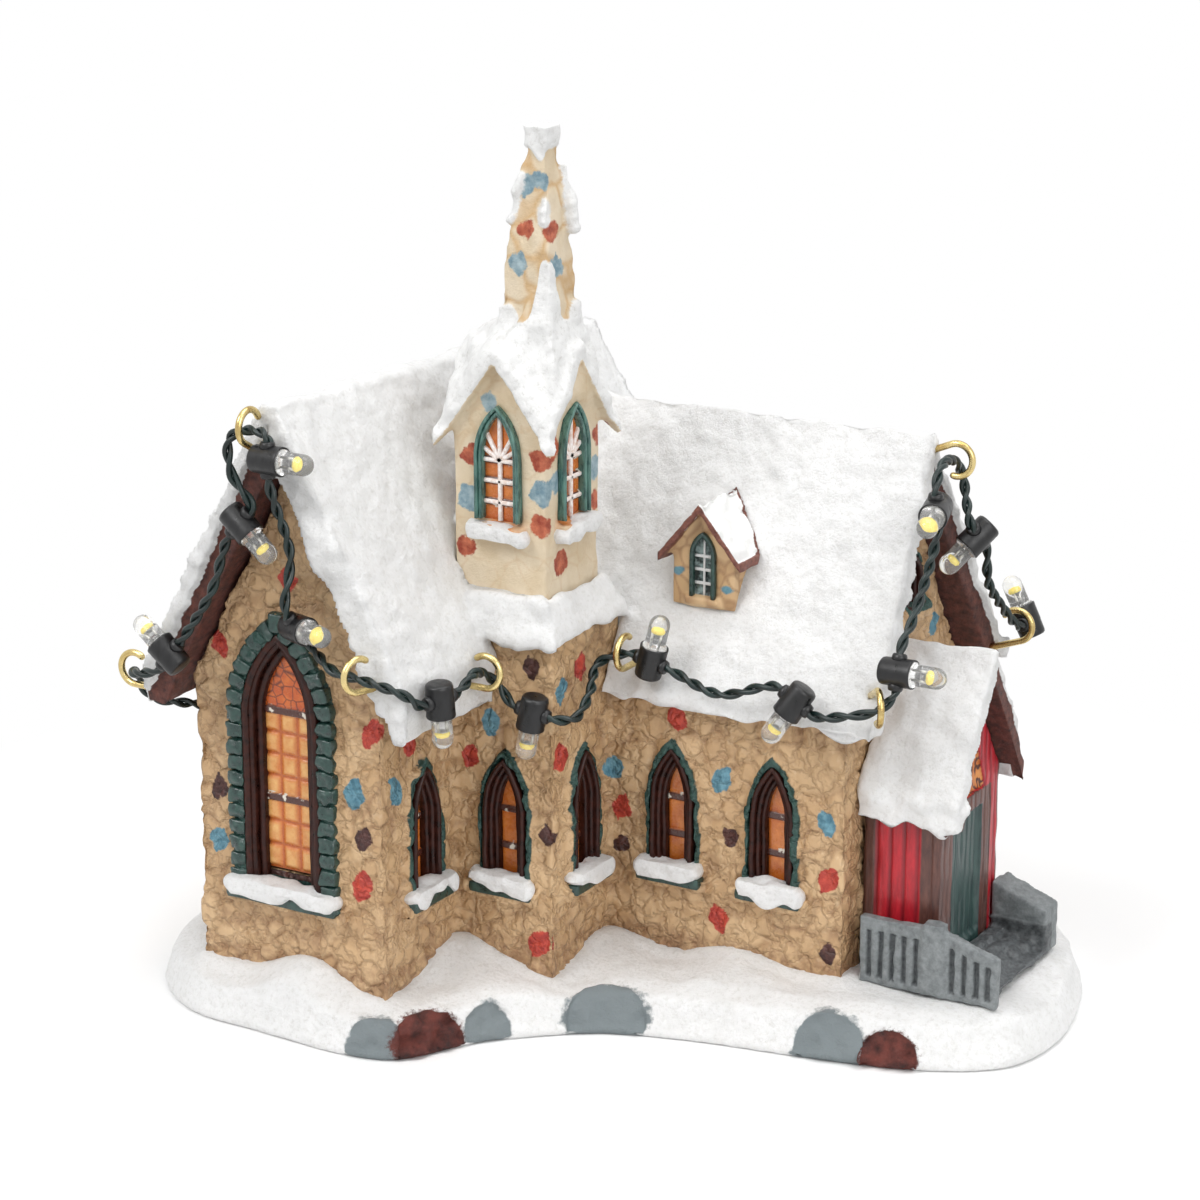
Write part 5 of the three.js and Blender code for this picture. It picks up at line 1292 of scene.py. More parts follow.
# Bell tower: belfry, crossed gables and spire in one casting of half-clear cream resin, with stones
# painted red and blue, thick snow on its gables and edges, and a white cap. It is glued in the roof.
def ball_row(start, end, radii, count, seed, wander):
    """Balls from start to end, each a little off the line, as snow lies along an edge."""
    random = np.random.default_rng(seed)
    shares = np.linspace(0.0, 1.0, count)[:, None]
    middles = np.array(start) * (1 - shares) + np.array(end) * shares
    middles += random.uniform(-wander, wander, middles.shape)
    sizes = np.interp(shares[:, 0], np.linspace(0, 1, len(radii)), radii) * random.uniform(0.85, 1.15, count)
    return [(*middle, size) for middle, size in zip(middles, sizes)]


def into_balls(places, balls):
    """How far inside the nearest ball each place lies, in millimetres, or outside it below zero."""
    deepest = np.full(len(places), -20.0)
    for x, y, z, radius in balls:
        deepest = np.maximum(deepest, radius - np.linalg.norm(places - (x, y, z), axis=1))
    return deepest


TOWER_X, TOWER_Y, TOWER_HALF, TOWER_EAVE, TOWER_RISE = -13.25, -11.75, 8.2, 94.0, 11.0
SPIRE_X, SPIRE_Y = -10.6, -11.8
tower_pitch = TOWER_RISE / TOWER_HALF
ridge = TOWER_EAVE + TOWER_RISE
tower_wraps = []
for way_x, way_y in ((1, -1), (-1, -1), (1, 1), (-1, 1)):
    tip = (TOWER_X + way_x * 9.9, TOWER_Y + way_y * 9.9, TOWER_EAVE + 1.4)
    along_x = (TOWER_X + way_x * 10.0, TOWER_Y + way_y * 1.0, ridge + 2.6)
    along_y = (TOWER_X + way_x * 1.0, TOWER_Y + way_y * 10.0, ridge + 2.6)
    under_x, under_y = (*along_x[:2], ridge + 0.4), (*along_y[:2], ridge + 0.4)
    core = [(TOWER_X, TOWER_Y, ridge), (TOWER_X, TOWER_Y, ridge + 8.0)]
    tower_wraps.append([tip, (*tip[:2], tip[2] - 1.6), along_x, along_y, under_x, under_y, *core])
    high = (SPIRE_X + way_x * 2.6, SPIRE_Y + way_y * 2.6, 120.5 if (way_x, way_y) == (1, -1) else 112.5)
    shoulders = [(along_x[0] - way_x * 2.6, along_x[1], 109.0), (along_y[0], along_y[1] - way_y * 2.6, 109.0)]
    low = (TOWER_X + way_x * 6.4, TOWER_Y + way_y * 6.4, 105.0)
    tower_wraps.append([high, (high[0], high[1], high[2] - 3.5), *shoulders, low, *core])
SPIRE_SNOW = [
    ((-7.9, -14.9, 129.4), (-7.9, -15.2, 126.8), (0.7, 1.1, 0.9), 9),
    ((-12.5, -14.2, 133.0), (-13.9, -14.6, 126.6), (0.6, 0.85, 0.7), 16),
    ((-7.9, -8.9, 134.0), (-6.6, -8.6, 125.0), (0.6, 1.1, 1.0), 18),
    ((-12.6, -9.2, 131.0), (-13.9, -8.8, 122.0), (0.7, 1.0, 0.8), 18),
]
spire_balls = []
for number, (start, end, radii, count) in enumerate(SPIRE_SNOW):
    spire_balls += ball_row(start, end, radii, count, seed=580 + number, wander=0.1)
tower_skin = even_skin(
    "bell_tower", "belfry_and_spire", cell=0.00036, smoothing=5, balls=spire_balls, wraps=tower_wraps
)
places, facing = places_of(tower_skin), facing_of(tower_skin)
x, y, z = places.T
under = ridge - tower_pitch * np.minimum(np.abs(x - TOWER_X), np.abs(y - TOWER_Y))
roofed = (z - under) / math.hypot(1, tower_pitch) - 0.25
bearing = np.arctan2(np.abs(y - SPIRE_Y), np.abs(x - SPIRE_X))
to_front = (x > SPIRE_X) & (y < SPIRE_Y)
cloak = 111.6 + np.where(to_front, 9.2, 2.0) * np.exp(-(((bearing - math.pi / 4) / 0.44) ** 4))
cloak += 0.7 * lumps(places * (1, 1, 0), 2.4, 55)
roofed = np.minimum(roofed, cloak - z)
roofed = np.where((z < 88.0) | (facing[:, 2] < -0.5), -3.0, roofed)
snow_in = np.maximum(roofed, into_balls(places, spire_balls) + 0.3)
cap_foot = 137.2 - 2.2 * np.exp(-((x - SPIRE_X - 1.4) ** 2 + (y - SPIRE_Y + 2.6) ** 2) / 1.6)
cap_foot += 0.5 * lumps(places * (1, 1, 0), 1.6, 55)
snow_in = np.maximum(snow_in, z - cap_foot)
snowy = ease(snow_in, -0.3, 0.5)
on_spire = ease(z, 108.0, 113.0)
swell = 0.16 * lumps(places, 2.6, 51) + 0.26 * lumps(places, 7.0, 52)
swell += on_spire * (1 - snowy) * (0.6 * lumps(places, 4.2, 53) + 0.3 * lumps(places, 2.0, 54) - 0.5)
swell += snowy * (0.55 * lumps(places, 3.4, 56) + 0.3 * lumps(places, 1.5, 57))
places += facing * swell[:, None]
narrow = 1.0 - 0.2 * ease(z, 135.0, 138.5)
places[:, 0] = SPIRE_X + 0.5 + (places[:, 0] - SPIRE_X - 0.5) * narrow
places[:, 1] = SPIRE_Y + (places[:, 1] - SPIRE_Y) * narrow
places[:, 2] = np.minimum(places[:, 2], 140.7)
put_back(tower_skin, places)
BELFRY_RED = [
    (-18.1, -19.95, 90.3),
    (-19.4, -19.95, 75.6),
    (-5.8, -19.95, 90.8),
    (-6.2, -19.95, 80.4),
    (-5.05, -17.3, 92.3),
    (-5.05, -3.8, 91.9),
    (-5.05, -4.8, 81.4),
    (-5.05, -15.0, 73.8),
    (-11.1, -15.9, 125.3),
    (-6.0, -14.2, 125.0),
]
BELFRY_BLUE = [
    (-15.0, -19.95, 99.0),
    (-18.9, -19.95, 83.5),
    (-5.8, -19.95, 85.6),
    (-5.05, -16.6, 86.9),
    (-5.05, -5.1, 86.6),
    (-9.0, -15.2, 132.6),
    (-11.9, -14.6, 132.0),
    (-12.2, -16.4, 120.0),
    (-5.4, -13.2, 119.3),
]
cream = Finish("cream_resin")
pores = cream.grain(0.0007, detail=6.0, roughness=0.7)
clouds = cream.grain(0.006, detail=4.0)
crust = cream.grain(0.003, detail=5.0, roughness=0.65)
chisel = cream.grain(0.0016, detail=4.0)
cream_colour = cream.mix(clouds.within(0.35, 0.65), ink(218, 198, 166), ink(232, 216, 190))
cream_colour = cream.mix(1.0 - cream.painted("joint").within(0.0, 0.55), cream_colour, ink(206, 170, 122))
cream_colour = cream.mix(cream.painted("stain") * clouds.within(0.35, 0.6), cream_colour, ink(206, 128, 62))
for mask, dark, light in (
    ("red_stones", ink(150, 58, 36), ink(206, 116, 82)),
    ("blue_stones", ink(112, 142, 156), ink(170, 190, 196)),
):
    edge = cream.painted(mask) + (chisel - 0.5) * 2.4
    paint = cream.mix(chisel.within(0.35, 0.65), dark, light)
    cream_colour = cream.mix(1.0 - edge.within(-0.2, 0.1), cream_colour, paint)
brush = cream.grain(0.0009, detail=8.0, roughness=0.75)
snow_white = cream.mix(crust.within(0.3, 0.7), ink(232, 232, 231), ink(244, 244, 243))
snow_white = cream.mix(brush.within(0.34, 0.48), ink(216, 215, 212), snow_white)
snow_white = cream.mix(pores.within(0.68, 0.74) * 0.5, snow_white, ink(170, 146, 124))
snow_share = (cream.painted("snow") + (pores - 0.5) * 0.8).within(-0.15, 0.15)
cream_colour = cream.mix(snow_share, cream_colour, snow_white)
cream_relief = cream.relief(crust, 0.0005, 0.5, cream.relief(brush, 0.0004, 0.8))
cream_resin = cream.surface(base_color=cream_colour, roughness=pores * 0.3 + 0.3, normal=cream_relief)
tower_gap, _ = laid_stones(places, (5.0, 5.0, 5.5), seed=58)
beside_window = np.minimum(np.abs(x - TOWER_X), np.abs(y - TOWER_Y))
dress(
    tower_skin,
    cream_resin,
    {
        "snow": snow_in,
        "joint": tower_gap + (1 - on_spire) * 0.35,
        "stain": ease(beside_window, 6.0, 4.0) * ease(z, 77.5, 79.5) * ease(z, 84.0, 80.0),
        "red_stones": off_stones(places, BELFRY_RED, seed=59, wide=2.0, tall=2.1),
        "blue_stones": off_stones(places, BELFRY_BLUE, seed=60, wide=2.0, tall=2.3),
    },
)
fixed(tower_skin, "tower", "bell_tower")


# Belfry windows: four amber panes glued in the tower, each with a green moulding, a white grid of
# thin bars that fans out under the point, and snow on its sill.
BELFRY_WINDOW = {"half": 3.8, "sill": 80.0, "spring": 90.5, "point": 98.5}
BELFRY_BARS = (83.3, 86.6, 89.9)
BELFRY_SHEET = {"columns": 2, "bars": BELFRY_BARS, "panes_high": 1, "backs": -0.85}
belfry_trim = Finish("belfry_trim")
streaks = belfry_trim.grain(0.0007, detail=5.0, stretch=(1.0, 1.0, 0.2))
belfry_green = belfry_trim.surface(
    base_color=belfry_trim.mix(streaks.within(0.3, 0.7), ink(16, 58, 56), ink(96, 142, 130)),
    roughness=streaks.within(0.3, 0.7) * 0.3 + 0.15,
    coat_weight=0.5,
    normal=belfry_trim.relief(streaks, 0.0002, 0.6),
)
bar_paint = Finish("bar_white")
bar_marks = bar_paint.grain(0.0006, detail=4.0)
bar_white = bar_paint.surface(
    base_color=bar_paint.mix(bar_marks.within(0.3, 0.6), ink(222, 196, 180), ink(246, 240, 237)),
    roughness=bar_marks * 0.3 + 0.4,
    normal=bar_paint.relief(bar_marks, 0.00012, 0.5),
)
BELFRY_SIDES = [
    ("south", "y", TOWER_Y - TOWER_HALF, -1, TOWER_X),
    ("east", "x", TOWER_X + TOWER_HALF, 1, TOWER_Y),
    ("north", "y", TOWER_Y + TOWER_HALF, 1, TOWER_X),
    ("west", "x", TOWER_X - TOWER_HALF, -1, TOWER_Y),
]
for side, axis, plane, out, middle in BELFRY_SIDES:
    place = on_wall_place(axis, plane, out, middle)
    flip = (axis == "y") == (out > 0)
    outward = place([0.0, 0.0, 1.0]) - place([0.0, 0.0, 0.0])
    trims = []
    for inset, proud in ((0.1, 0.35), (0.7, 0.0)):
        flat = arch_path(BELFRY_WINDOW, inset, 80.6)
        path = place(np.column_stack([flat, np.full(len(flat), proud)]))
        trims.append(swept("trim", path, outward, 0.6, 1.7, belfry_green, sides=10, square=0.6))
    trim = joined(trims, f"belfry_moulding_{side}")
    fixed(trim, "tower")
    size = (3.3, 80.2, 97.5)
    sheet_name = f"belfry_panes_{side}"
    panes = glazing(sheet_name, BELFRY_WINDOW, place, flip, middle, size, **BELFRY_SHEET)
    fixed(panes, "amber_glaze")
    lines = [[(0.0, v) for v in np.linspace(80.4, 96.9, 12)]]
    lines += [[(u, v) for u in np.linspace(-3.1, 3.1, 9)] for v in BELFRY_BARS]
    for angle in (-58, -30, 30, 58):
        lean = math.radians(angle)
        reach = 5.6 if abs(angle) < 40 else 3.4
        rays = np.linspace(0.0, reach, 8)
        lines.append([(r * math.sin(lean), BELFRY_BARS[-1] + r * math.cos(lean)) for r in rays])
    strips = []
    for line in lines:
        path = place(np.array([(u, v, -0.35) for u, v in line]))
        strips.append(swept("bar", path, outward, 0.72, 0.75, bar_white, sides=8, square=0.7))
    grid = joined(strips, f"belfry_bars_{side}")
    fixed(grid, "tower")
    heap_sizes, heap_seed = (11.0, 2.6, 3.4), 131 + abs(int(middle))
    heap_form, heap_faces = pillow(heap_sizes, heap_seed, roundness=0.35, rough=0.4, cuts=20, grain=2.0)
    heap_form[:, 1] -= 0.8 * ease(heap_form[:, 0] * (1 if axis == "y" else -1), -2.0, 5.0)
    sag = 0.5 * lumps(heap_form * (1, 0, 0) + middle, 2.6, 132) * ease(heap_form[:, 1], 0.4, -0.8)
    heap_form[:, 1] += sag
    heap_points = place(heap_form + (0.0, 79.0, 0.9))
    heap = gather(f"belfry_sill_snow_{side}", [(heap_points, heap_faces)], brushed_snow, flip)
    no_rocks(heap)
    fixed(heap, "snow")


# Dormer: a small gabled window cast in tan resin, glued on the nave's south slope, with brown
# boards along its gable and snow on its roof.
DORMER_X, DORMER_FACE, DORMER_HALF, DORMER_EAVE, DORMER_RISE = 11.2, 1.0, 5.6, 73.6, 6.7
dormer_skin = even_skin("roof_dormer", "dormer", cell=0.0003, smoothing=9)
places, facing = places_of(dormer_skin), facing_of(dormer_skin)
x, y, z = places.T
dormer_pitch = DORMER_RISE / DORMER_HALF
dormer_under = DORMER_EAVE + DORMER_RISE - dormer_pitch * np.abs(x - DORMER_X)
dormer_above = (z - dormer_under) / math.hypot(1, dormer_pitch)
roofed = ease(dormer_above, -0.3, 0.2)
on_top = roofed * ease(facing[:, 2], 0.1, 0.5)
drift = on_top * (0.8 * lumps(places, 3.6, 92) + 0.6 * lumps(places, 1.8, 95) - 0.6)
places += facing * (0.2 * lumps(places, 2.2, 91) + drift)[:, None]
put_back(dormer_skin, places)
dormer_paint = Finish("dormer_paint")
pores = dormer_paint.grain(0.0007, detail=6.0, roughness=0.7)
crust = dormer_paint.grain(0.002, detail=5.0, roughness=0.65)
dormer_colour = dormer_paint.mix(dormer_paint.painted("tone"), ink(186, 150, 108), ink(212, 180, 138))
joint_share = (1.0 - dormer_paint.painted("joint").within(0.05, 0.4)) * 0.5
dormer_colour = dormer_paint.mix(joint_share, dormer_colour, ink(132, 90, 60))
blue_edge = dormer_paint.painted("blue_stones") + (crust - 0.5) * 1.6
blue_paint = dormer_paint.mix(crust.within(0.35, 0.65), ink(74, 116, 132), ink(112, 156, 170))
dormer_colour = dormer_paint.mix(1.0 - blue_edge.within(-0.2, 0.1), dormer_colour, blue_paint)
pane_dark = dormer_paint.mix(crust.within(0.45, 0.62), ink(16, 30, 27), ink(150, 168, 166))
dormer_colour = dormer_paint.mix(dormer_paint.painted("pane"), dormer_colour, pane_dark)
board_colour = dormer_paint.mix(pores.within(0.3, 0.7), ink(74, 36, 30), ink(140, 88, 74))
board_share = (dormer_paint.painted("roofed") + (pores - 0.5) * 0.5).within(0.4, 0.6)
dormer_colour = dormer_paint.mix(board_share, dormer_colour, board_colour)
snow_white = dormer_paint.mix(crust.within(0.3, 0.7), ink(226, 226, 224), ink(240, 240, 239))
snow_share = (dormer_paint.painted("snow") + (pores - 0.5) * 0.9).within(0.45, 0.6)
dormer_colour = dormer_paint.mix(snow_share, dormer_colour, snow_white)
dormer_finish = dormer_paint.surface(
    base_color=dormer_colour,
    roughness=pores * 0.3 + 0.4,
    normal=dormer_paint.relief(crust, 0.0003, 0.5, dormer_paint.relief(pores, 0.0001, 0.5)),
)
in_recess = (y > DORMER_FACE + 0.25) & (y < DORMER_FACE + 3.0)
pane = (np.abs(x - DORMER_X) < 1.9) & (z > 66.0) & (z < 76.2) & in_recess
DORMER_BLUE = [(6.7, 1.0, 70.2), (15.4, 1.0, 68.2)]
dormer_gap, dormer_tone = laid_stones(places, (3.4, 3.4, 3.2), seed=94)
dress(
    dormer_skin,
    dormer_finish,
    {
        "pane": pane.astype(float),
        "roofed": roofed,
        "snow": on_top * ease(dormer_above, 0.4, 1.3),
        "joint": dormer_gap,
        "tone": dormer_tone,
        "blue_stones": off_stones(places, DORMER_BLUE, seed=93, wide=1.1, tall=0.9),
    },
)
fixed(dormer_skin, "stonework", "roof_dormer")
DORMER_WINDOW = {"half": 2.0, "sill": 66.4, "spring": 73.1, "point": 76.8}
place = on_wall_place("y", DORMER_FACE, -1, DORMER_X)
outward = np.array([0.0, -1.0, 0.0])
flat = arch_path(DORMER_WINDOW, 0.1, DORMER_WINDOW["sill"])
frame_path = place(np.stack([flat[:, 0], flat[:, 1], np.full(len(flat), 0.15)], axis=1))
dormer_frame = swept("dormer_window_frame", frame_path, outward, 0.75, 1.0, block_green)
fixed(dormer_frame, "stonework")
bars = []
for level in (68.6, 70.8, 73.0):
    path = place(np.array([(u, level, -0.45) for u in np.linspace(-1.9, 1.9, 9)]))
    bars.append(swept("bar", path, outward, 0.5, 0.5, brushed_snow, sides=8, square=0.8))
path = place(np.array([(0.0, v, -0.4) for v in np.linspace(DORMER_WINDOW["sill"], 76.0, 14)]))
bars.append(swept("bar", path, outward, 0.35, 0.4, brushed_snow, sides=8, square=0.8))
dormer_bars = joined(bars, "dormer_window_bars")
no_rocks(dormer_bars)
fixed(dormer_bars, "snow")


# Porch: a gabled block of red-painted boards between dark brown posts, with a green double door
# and an amber light over it. It is glued to the nave's east wall.
def off_joint(across, board):
    """How far a place is from the nearest joint between boards of one width."""
    return np.abs(across / board - np.round(across / board)) * board


PORCH_WEST, PORCH_EAST, PORCH_SOUTH, PORCH_NORTH, PORCH_MIDDLE = 38.8, 52.0, 3.5, 25.5, 14.5
DOOR_LEAVES = [((0.0498, 0.0094, 0.0122), (0.0514, 0.0196, 0.0339))]
SIDE_BOARD, FRONT_BOARD = 2.3, 1.9
porch_skin = even_skin("porch", "porch_boards", cell=0.0003, smoothing=1, blocks=DOOR_LEAVES)
places, facing = places_of(porch_skin), facing_of(porch_skin)
x, y, z = places.T
off_middle = y - PORCH_MIDDLE
east_face = ease(facing[:, 0], 0.3, 0.6) * (x > PORCH_EAST - 2.0)
south_face = ease(-facing[:, 1], 0.3, 0.6) * (y < PORCH_SOUTH + 1.5)
north_face = ease(facing[:, 1], 0.3, 0.6) * (y > PORCH_NORTH - 1.5)
board_joint = off_joint(x - PORCH_WEST, SIDE_BOARD)
groove = 0.35 * ease(board_joint, 0.35, 0.0) * (south_face + north_face)
east_joint = off_joint(off_middle, FRONT_BOARD)
groove = np.maximum(groove, 0.3 * ease(east_joint, 0.3, 0.0) * east_face)
places -= facing * groove[:, None]
places += facing * (0.12 * lumps(places * (1, 1, 0.35), 1.2, 101))[:, None]
put_back(porch_skin, places)
door = (y > 7.8) & (y < 19.6) & (z < 33.9) & (x > 49.8)
tympanum = (z > 36.5) & (x < 51.6) & (x > 50.6) & (np.abs(off_middle) < 6.2)
jamb = (y > 7.4) & (y < 22.6) & (z < 36.4) & ~door & (x > 49.8)
posts = (x > 48.7) & (y < 7.4) | (x > 50.0) & (y > 25.0) | (x < PORCH_WEST + 2.0)
posts = posts & (z < 40.0)
porch_paint = Finish("porch_paint")
weather = porch_paint.grain(0.0012, detail=6.0, roughness=0.7, stretch=(1.0, 1.0, 0.25))
scuffed = porch_paint.grain(0.004, detail=4.0)
porch_colour = porch_paint.mix(weather.within(0.3, 0.72), ink(150, 16, 32), ink(206, 38, 52))
joint_share = (1.0 - porch_paint.painted("joints").within(0.1, 0.5)) * 0.6
porch_colour = porch_paint.mix(joint_share, porch_colour, ink(86, 12, 24))
brown_wood = porch_paint.mix(weather.within(0.3, 0.7), ink(56, 30, 27), ink(112, 72, 62))
porch_colour = porch_paint.mix(porch_paint.painted("wood"), porch_colour, brown_wood)
teal = porch_paint.mix(weather.within(0.3, 0.7), ink(26, 48, 48), ink(58, 84, 80))
porch_colour = porch_paint.mix(porch_paint.painted("door"), porch_colour, teal)
amber_light = porch_paint.mix(scuffed.within(0.35, 0.65), ink(196, 106, 40), ink(222, 150, 78))
branches = porch_paint.grain(0.0016, detail=2.0, stretch=(1.0, 1.0, 0.35))
branch_share = ((branches - 0.5) * (branches - 0.5)).within(0.0022, 0.0006)
amber_light = porch_paint.mix(branch_share, amber_light, ink(84, 40, 24))
porch_colour = porch_paint.mix(porch_paint.painted("light"), porch_colour, amber_light)
porch_finish = porch_paint.surface(
    base_color=porch_colour,
    roughness=weather * 0.3 + 0.25,
    coat_weight=0.2,
    normal=porch_paint.relief(weather, 0.0003, 0.6),
)
joints = np.where(south_face + north_face > 0.5, board_joint, np.where(east_face > 0.5, east_joint, 9.0))
dress(
    porch_skin,
    porch_finish,
    {
        "joints": joints,
        "wood": (jamb | posts).astype(float),
        "door": door.astype(float),
        "light": tympanum.astype(float),
    },
)
fixed(porch_skin, "porch_paint", "porch")


# Porch roof: thick snow on two boards, cast in one piece of resin and glued on the porch's gable.
# Dark brown boards edge its east end, and a lump of snow hangs at its south-east corner.
PORCH_PITCH, PORCH_WALL_TOP, PORCH_HALF = 1.49, 38.6, 11.0
porch_ridge_under = PORCH_WALL_TOP + PORCH_PITCH * PORCH_HALF + 0.3 * math.hypot(1, PORCH_PITCH)
EAVE_LOBE = [(54.2, 2.2, 36.4, 2.3), (52.8, 1.9, 35.6, 2.1), (51.2, 1.8, 36.2, 1.8), (55.0, 3.2, 38.2, 2.0)]
porch_roof_skin = even_skin("porch_roof", "porch_snow", cell=0.00036, smoothing=6, balls=EAVE_LOBE)
places, facing = places_of(porch_roof_skin), facing_of(porch_roof_skin)
x, y, z = places.T
porch_above = (z - (porch_ridge_under - PORCH_PITCH * np.abs(y - PORCH_MIDDLE))) / math.hypot(1, PORCH_PITCH)
board_deep = 2.3 * ease(y, 14.0, 16.0) + 0.5 * lumps(places, 3.0, 115)
board = np.where((porch_above < board_deep) & (x > 53.5), porch_above - board_deep, 2.0)
board = np.where((facing[:, 2] < -0.5) & (x < 54.0) & (porch_above < 0.8) & (z > 38.5), -1.0, board)
snowy = ease(board, -0.4, 0.6)
swell = 0.55 * lumps(places, 4.0, 111) + 0.35 * lumps(places, 2.0, 112)
places += facing * (swell * (0.3 + 0.7 * snowy) + 0.25 * snowy - 0.2)[:, None]
eave = ease(np.abs(y - PORCH_MIDDLE), 9.5, 13.0) * ease(facing[:, 2], -0.9, 0.2)
drip = 1.4 * lumps(places * (1, 0, 0), 2.8, 113) + 0.7 * lumps(places * (1, 0, 0), 1.5, 114)
places[:, 2] -= eave * (drip + 0.6)
put_back(porch_roof_skin, places)
dress(porch_roof_skin, roof_snow, {"board": board})
fixed(porch_roof_skin, "snow", "porch_roof")


# Steps: one resin casting of the stair, its south railing and its north parapet, painted grey in
# two tones, with darker rubble on the steps and painted shade in the gaps between the railing's slats.
PARAPET_SIDE = ((52.3, 8.6), (61.9, 8.6), (61.9, 15.9), (52.3, 19.3))
parapet = [(px, py, pz) for py in (23.2, 26.4) for px, pz in PARAPET_SIDE]
LANDING_RAIL, FLIGHT_RAIL, SLAT_STEP, SLOT_SHARE = 41.6, 55.8, 2.0, 0.46
steps_skin = even_skin("porch_steps", "stair_and_railing", cell=0.0003, smoothing=2, wraps=[parapet])
places, facing = places_of(steps_skin), facing_of(steps_skin)
x, y, z = places.T
on_landing, on_flight = (x > LANDING_RAIL) & (x < 51.2), (x > FLIGHT_RAIL) & (x < 63.2)
slat_share = np.where(on_landing, x - 41.8, x - 56.0) / SLAT_STEP
slat_share -= np.floor(slat_share)
slot_head = 17.4 - np.where(on_flight, (x - 55.0) / 3.0, 0.0)
in_slot = (slat_share < SLOT_SHARE) & (z > 9.6) & (z < slot_head)
# The gaps between the railing's slats: pushed in a little and painted dark as shade.
between_slats = (on_landing | on_flight) & in_slot & (y < -0.2)
stair = (y > 0.6) & (y < 25.6) & (x > 52.4) & (z < 13.5)
places += facing * (0.16 * lumps(places, 1.6, 121) + 0.12 * lumps(places, 4.0, 122))[:, None]
places += facing * (stair * 0.5 * lumps(places, 1.7, 123))[:, None]
places[:, 1] += 0.45 * between_slats
put_back(steps_skin, places)
grey = Finish("step_grey")
worn = grey.grain(0.0014, detail=6.0, roughness=0.7)
speckle = grey.grain(0.0006, detail=4.0)
step_colour = grey.mix(worn.within(0.3, 0.72), ink(92, 97, 99), ink(142, 147, 148))
# Dark grey for the rubble on the steps, and for the painted shade in the slats' gaps.
rubble = grey.mix(speckle.within(0.35, 0.65), ink(40, 42, 44), ink(92, 96, 98))
step_colour = grey.mix(grey.painted("rubble") * 0.8, step_colour, rubble)
step_grey = grey.surface(
    base_color=step_colour,
    roughness=worn * 0.3 + 0.4,
    normal=grey.relief(worn, 0.0003, 0.5, grey.relief(speckle, 0.0001, 0.5)),
)
dress(steps_skin, step_grey, {"rubble": np.maximum(stair * 1.0, between_slats * 0.85)})
fixed(steps_skin, "step_paint", "porch_steps")


# Battery box: a black moulded tray let into the base from below, with a hinged door, a sliding
# switch, two AA cells and nickel-plated contacts.
box_plastic = Finish("box_plastic")
sparks = box_plastic.grain(0.00035, detail=3.0)
sheen_marks = box_plastic.grain(0.006, detail=3.0)
box_black = box_plastic.surface(
    base_color=box_plastic.mix(sheen_marks.within(0.3, 0.7), ink(22, 22, 24), ink(40, 40, 43)),
    roughness=sparks * 0.3 + 0.35,
    normal=box_plastic.relief(sparks, 0.00008, 0.6),
)
sleeve_print = Finish("cell_sleeve")
sleeve_scuffs = sleeve_print.grain(0.002, detail=5.0, stretch=(0.3, 1.0, 1.0))
cell_sleeve = sleeve_print.surface(
    base_color=sleeve_print.mix(sleeve_scuffs.within(0.3, 0.7), ink(44, 84, 62), ink(74, 122, 90)),
    metallic=0.3,
    roughness=sleeve_scuffs * 0.25 + 0.2,
    normal=sleeve_print.relief(sleeve_scuffs, 0.00005, 0.4),
)
contact_plating = Finish("contact_steel")
rolled = contact_plating.grain(0.0007, detail=4.0, stretch=(1.0, 0.2, 1.0))
contact_steel = contact_plating.surface(
    base_color=contact_plating.mix(rolled.within(0.3, 0.7), ink(150, 152, 156), ink(206, 208, 212)),
    metallic=1.0,
    roughness=rolled * 0.3 + 0.18,
    normal=contact_plating.relief(rolled, 0.00005, 0.5),
)
for node, finish in (
    ("battery_box", box_black),
    ("battery_door", box_black),
    ("switch_knob", box_black),
    ("cell_1", cell_sleeve),
    ("cell_2", cell_sleeve),
    ("contact_bridge", contact_steel),
    ("contact_negative", contact_steel),
    ("contact_positive", contact_steel),
):
    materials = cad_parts[node].data.materials
    materials.clear()
    materials.append(finish)


# Lead: the same green twisted pair inside the church. It goes from the switch bay up along the
# wing's west wall to the hole where the string comes out.
LEAD = [
    (-41.75, 19.0, 5.8),
    (-44.75, 19.0, 5.8),
    (-48.75, 16.0, 7.8),
    (-50.2, 7.0, 13.8),
    (-51.2, -1.0, 21.8),
    (-51.2, -10.0, 31.8),
    (-50.7, -17.0, 39.0),
    (-50.7, -19.4, 43.1),
    (-53.0, -20.0, 44.0),
    (-54.35, -20.0, 44.0),
]
lead_path = even_steps(eased_route(np.array(LEAD) * MM, 24), 0.0004)
LEAD_WIRE, LEAD_PITCH = 0.0005, 0.0062
lead_points, lead_faces = twisted_pair(lead_path, LEAD_WIRE, LEAD_PITCH, sides=10)
inner_lead = new_piece("twisted_inner_lead", lead_points, lead_faces, [cord_jacket])
fixed(inner_lead, "cord_jacket", "lead_inner")


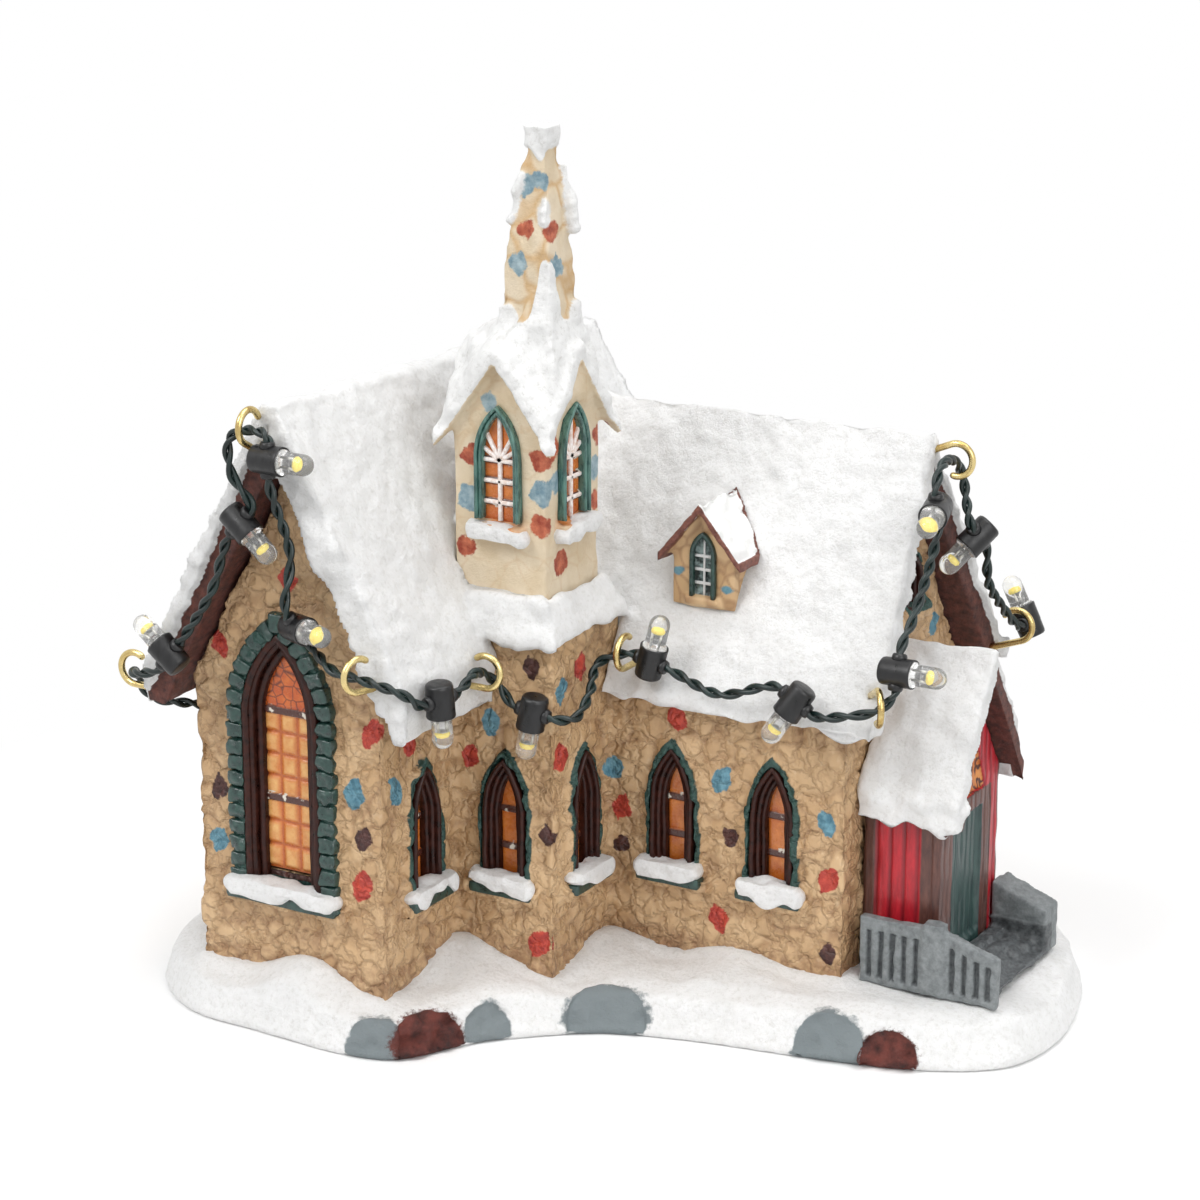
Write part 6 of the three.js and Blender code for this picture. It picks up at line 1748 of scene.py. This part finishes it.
# Floor and light: a white table that fades into an even white room past the church's shadow, one
# large soft lamp from the left, a weaker one from the right and one from above.
def shown(finish, low, high):
    """Low for light that falls on things, and high for what is seen straight on, in glass or in a shine."""
    seen = finish.node("LightPath", {}, {}, "Is Camera Ray")
    for kind in ("Is Glossy Ray", "Is Transmission Ray"):
        seen = seen.maths("MAXIMUM", seen, finish.node("LightPath", {}, {}, kind))
    return seen * (high - low) + low


ROOM_LIGHT = 0.56
table_paint = Finish("table_white")
sheen = table_paint.grain(0.05, detail=3.0)
place = table_paint.node("TexCoord", {}, {}, "Object")
from_middle = table_paint.node("VectorMath", {"operation": "LENGTH"}, {0: place}, "Value")
painted = table_paint.node(
    "BsdfPrincipled",
    {},
    {
        "Base Color": table_paint.mix(sheen, ink(243, 243, 243), ink(248, 248, 248)),
        "Roughness": sheen * 0.1 + 0.7,
    },
)
shine = shown(table_paint, ROOM_LIGHT, 1.0)
bright = table_paint.node("Emission", {}, {"Color": ink(255, 255, 255), "Strength": shine})
faded = table_paint.node("MixShader", {}, {0: from_middle.within(0.1, 0.17), 1: painted, 2: bright})
table_paint.node("OutputMaterial", {}, {"Surface": faded}, None)
corners = [(-3, -3, 0), (3, -3, 0), (3, 3, 0), (-3, 3, 0)]
table = new_piece("table_top", corners, [(0, 1, 2, 3)], [table_paint.material], smooth=False)
table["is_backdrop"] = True

room = Finish("room", bpy.data.worlds.new("room"))
bpy.context.scene.world = room.material
shine = shown(room, ROOM_LIGHT, 1.0)
glow = room.node("Background", {}, {"Color": ink(255, 255, 255), "Strength": shine})
room.node("OutputWorld", {}, {"Surface": glow}, None)


def soft_lamp(name, place, size, watts):
    """A square area lamp that looks at the middle of the church."""
    data = bpy.data.lights.new(name, "AREA")
    data.size = size
    data.energy = watts
    lamp = bpy.data.objects.new(name, data)
    lamp.location = place
    lamp.rotation_mode = "QUATERNION"
    lamp.rotation_quaternion = (Vector(place) - Vector((0, 0, 0.06))).to_track_quat("Z", "Y")
    bpy.context.scene.collection.objects.link(lamp)


soft_lamp("key", (-0.4, -0.8, 0.95), 0.6, 7.0)
soft_lamp("fill", (0.9, -0.5, 0.6), 0.7, 4.6)
soft_lamp("top", (0.2, 0.1, 1.15), 0.8, 5.9)

bpy.context.scene.view_settings.view_transform = "Standard"
low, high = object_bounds()
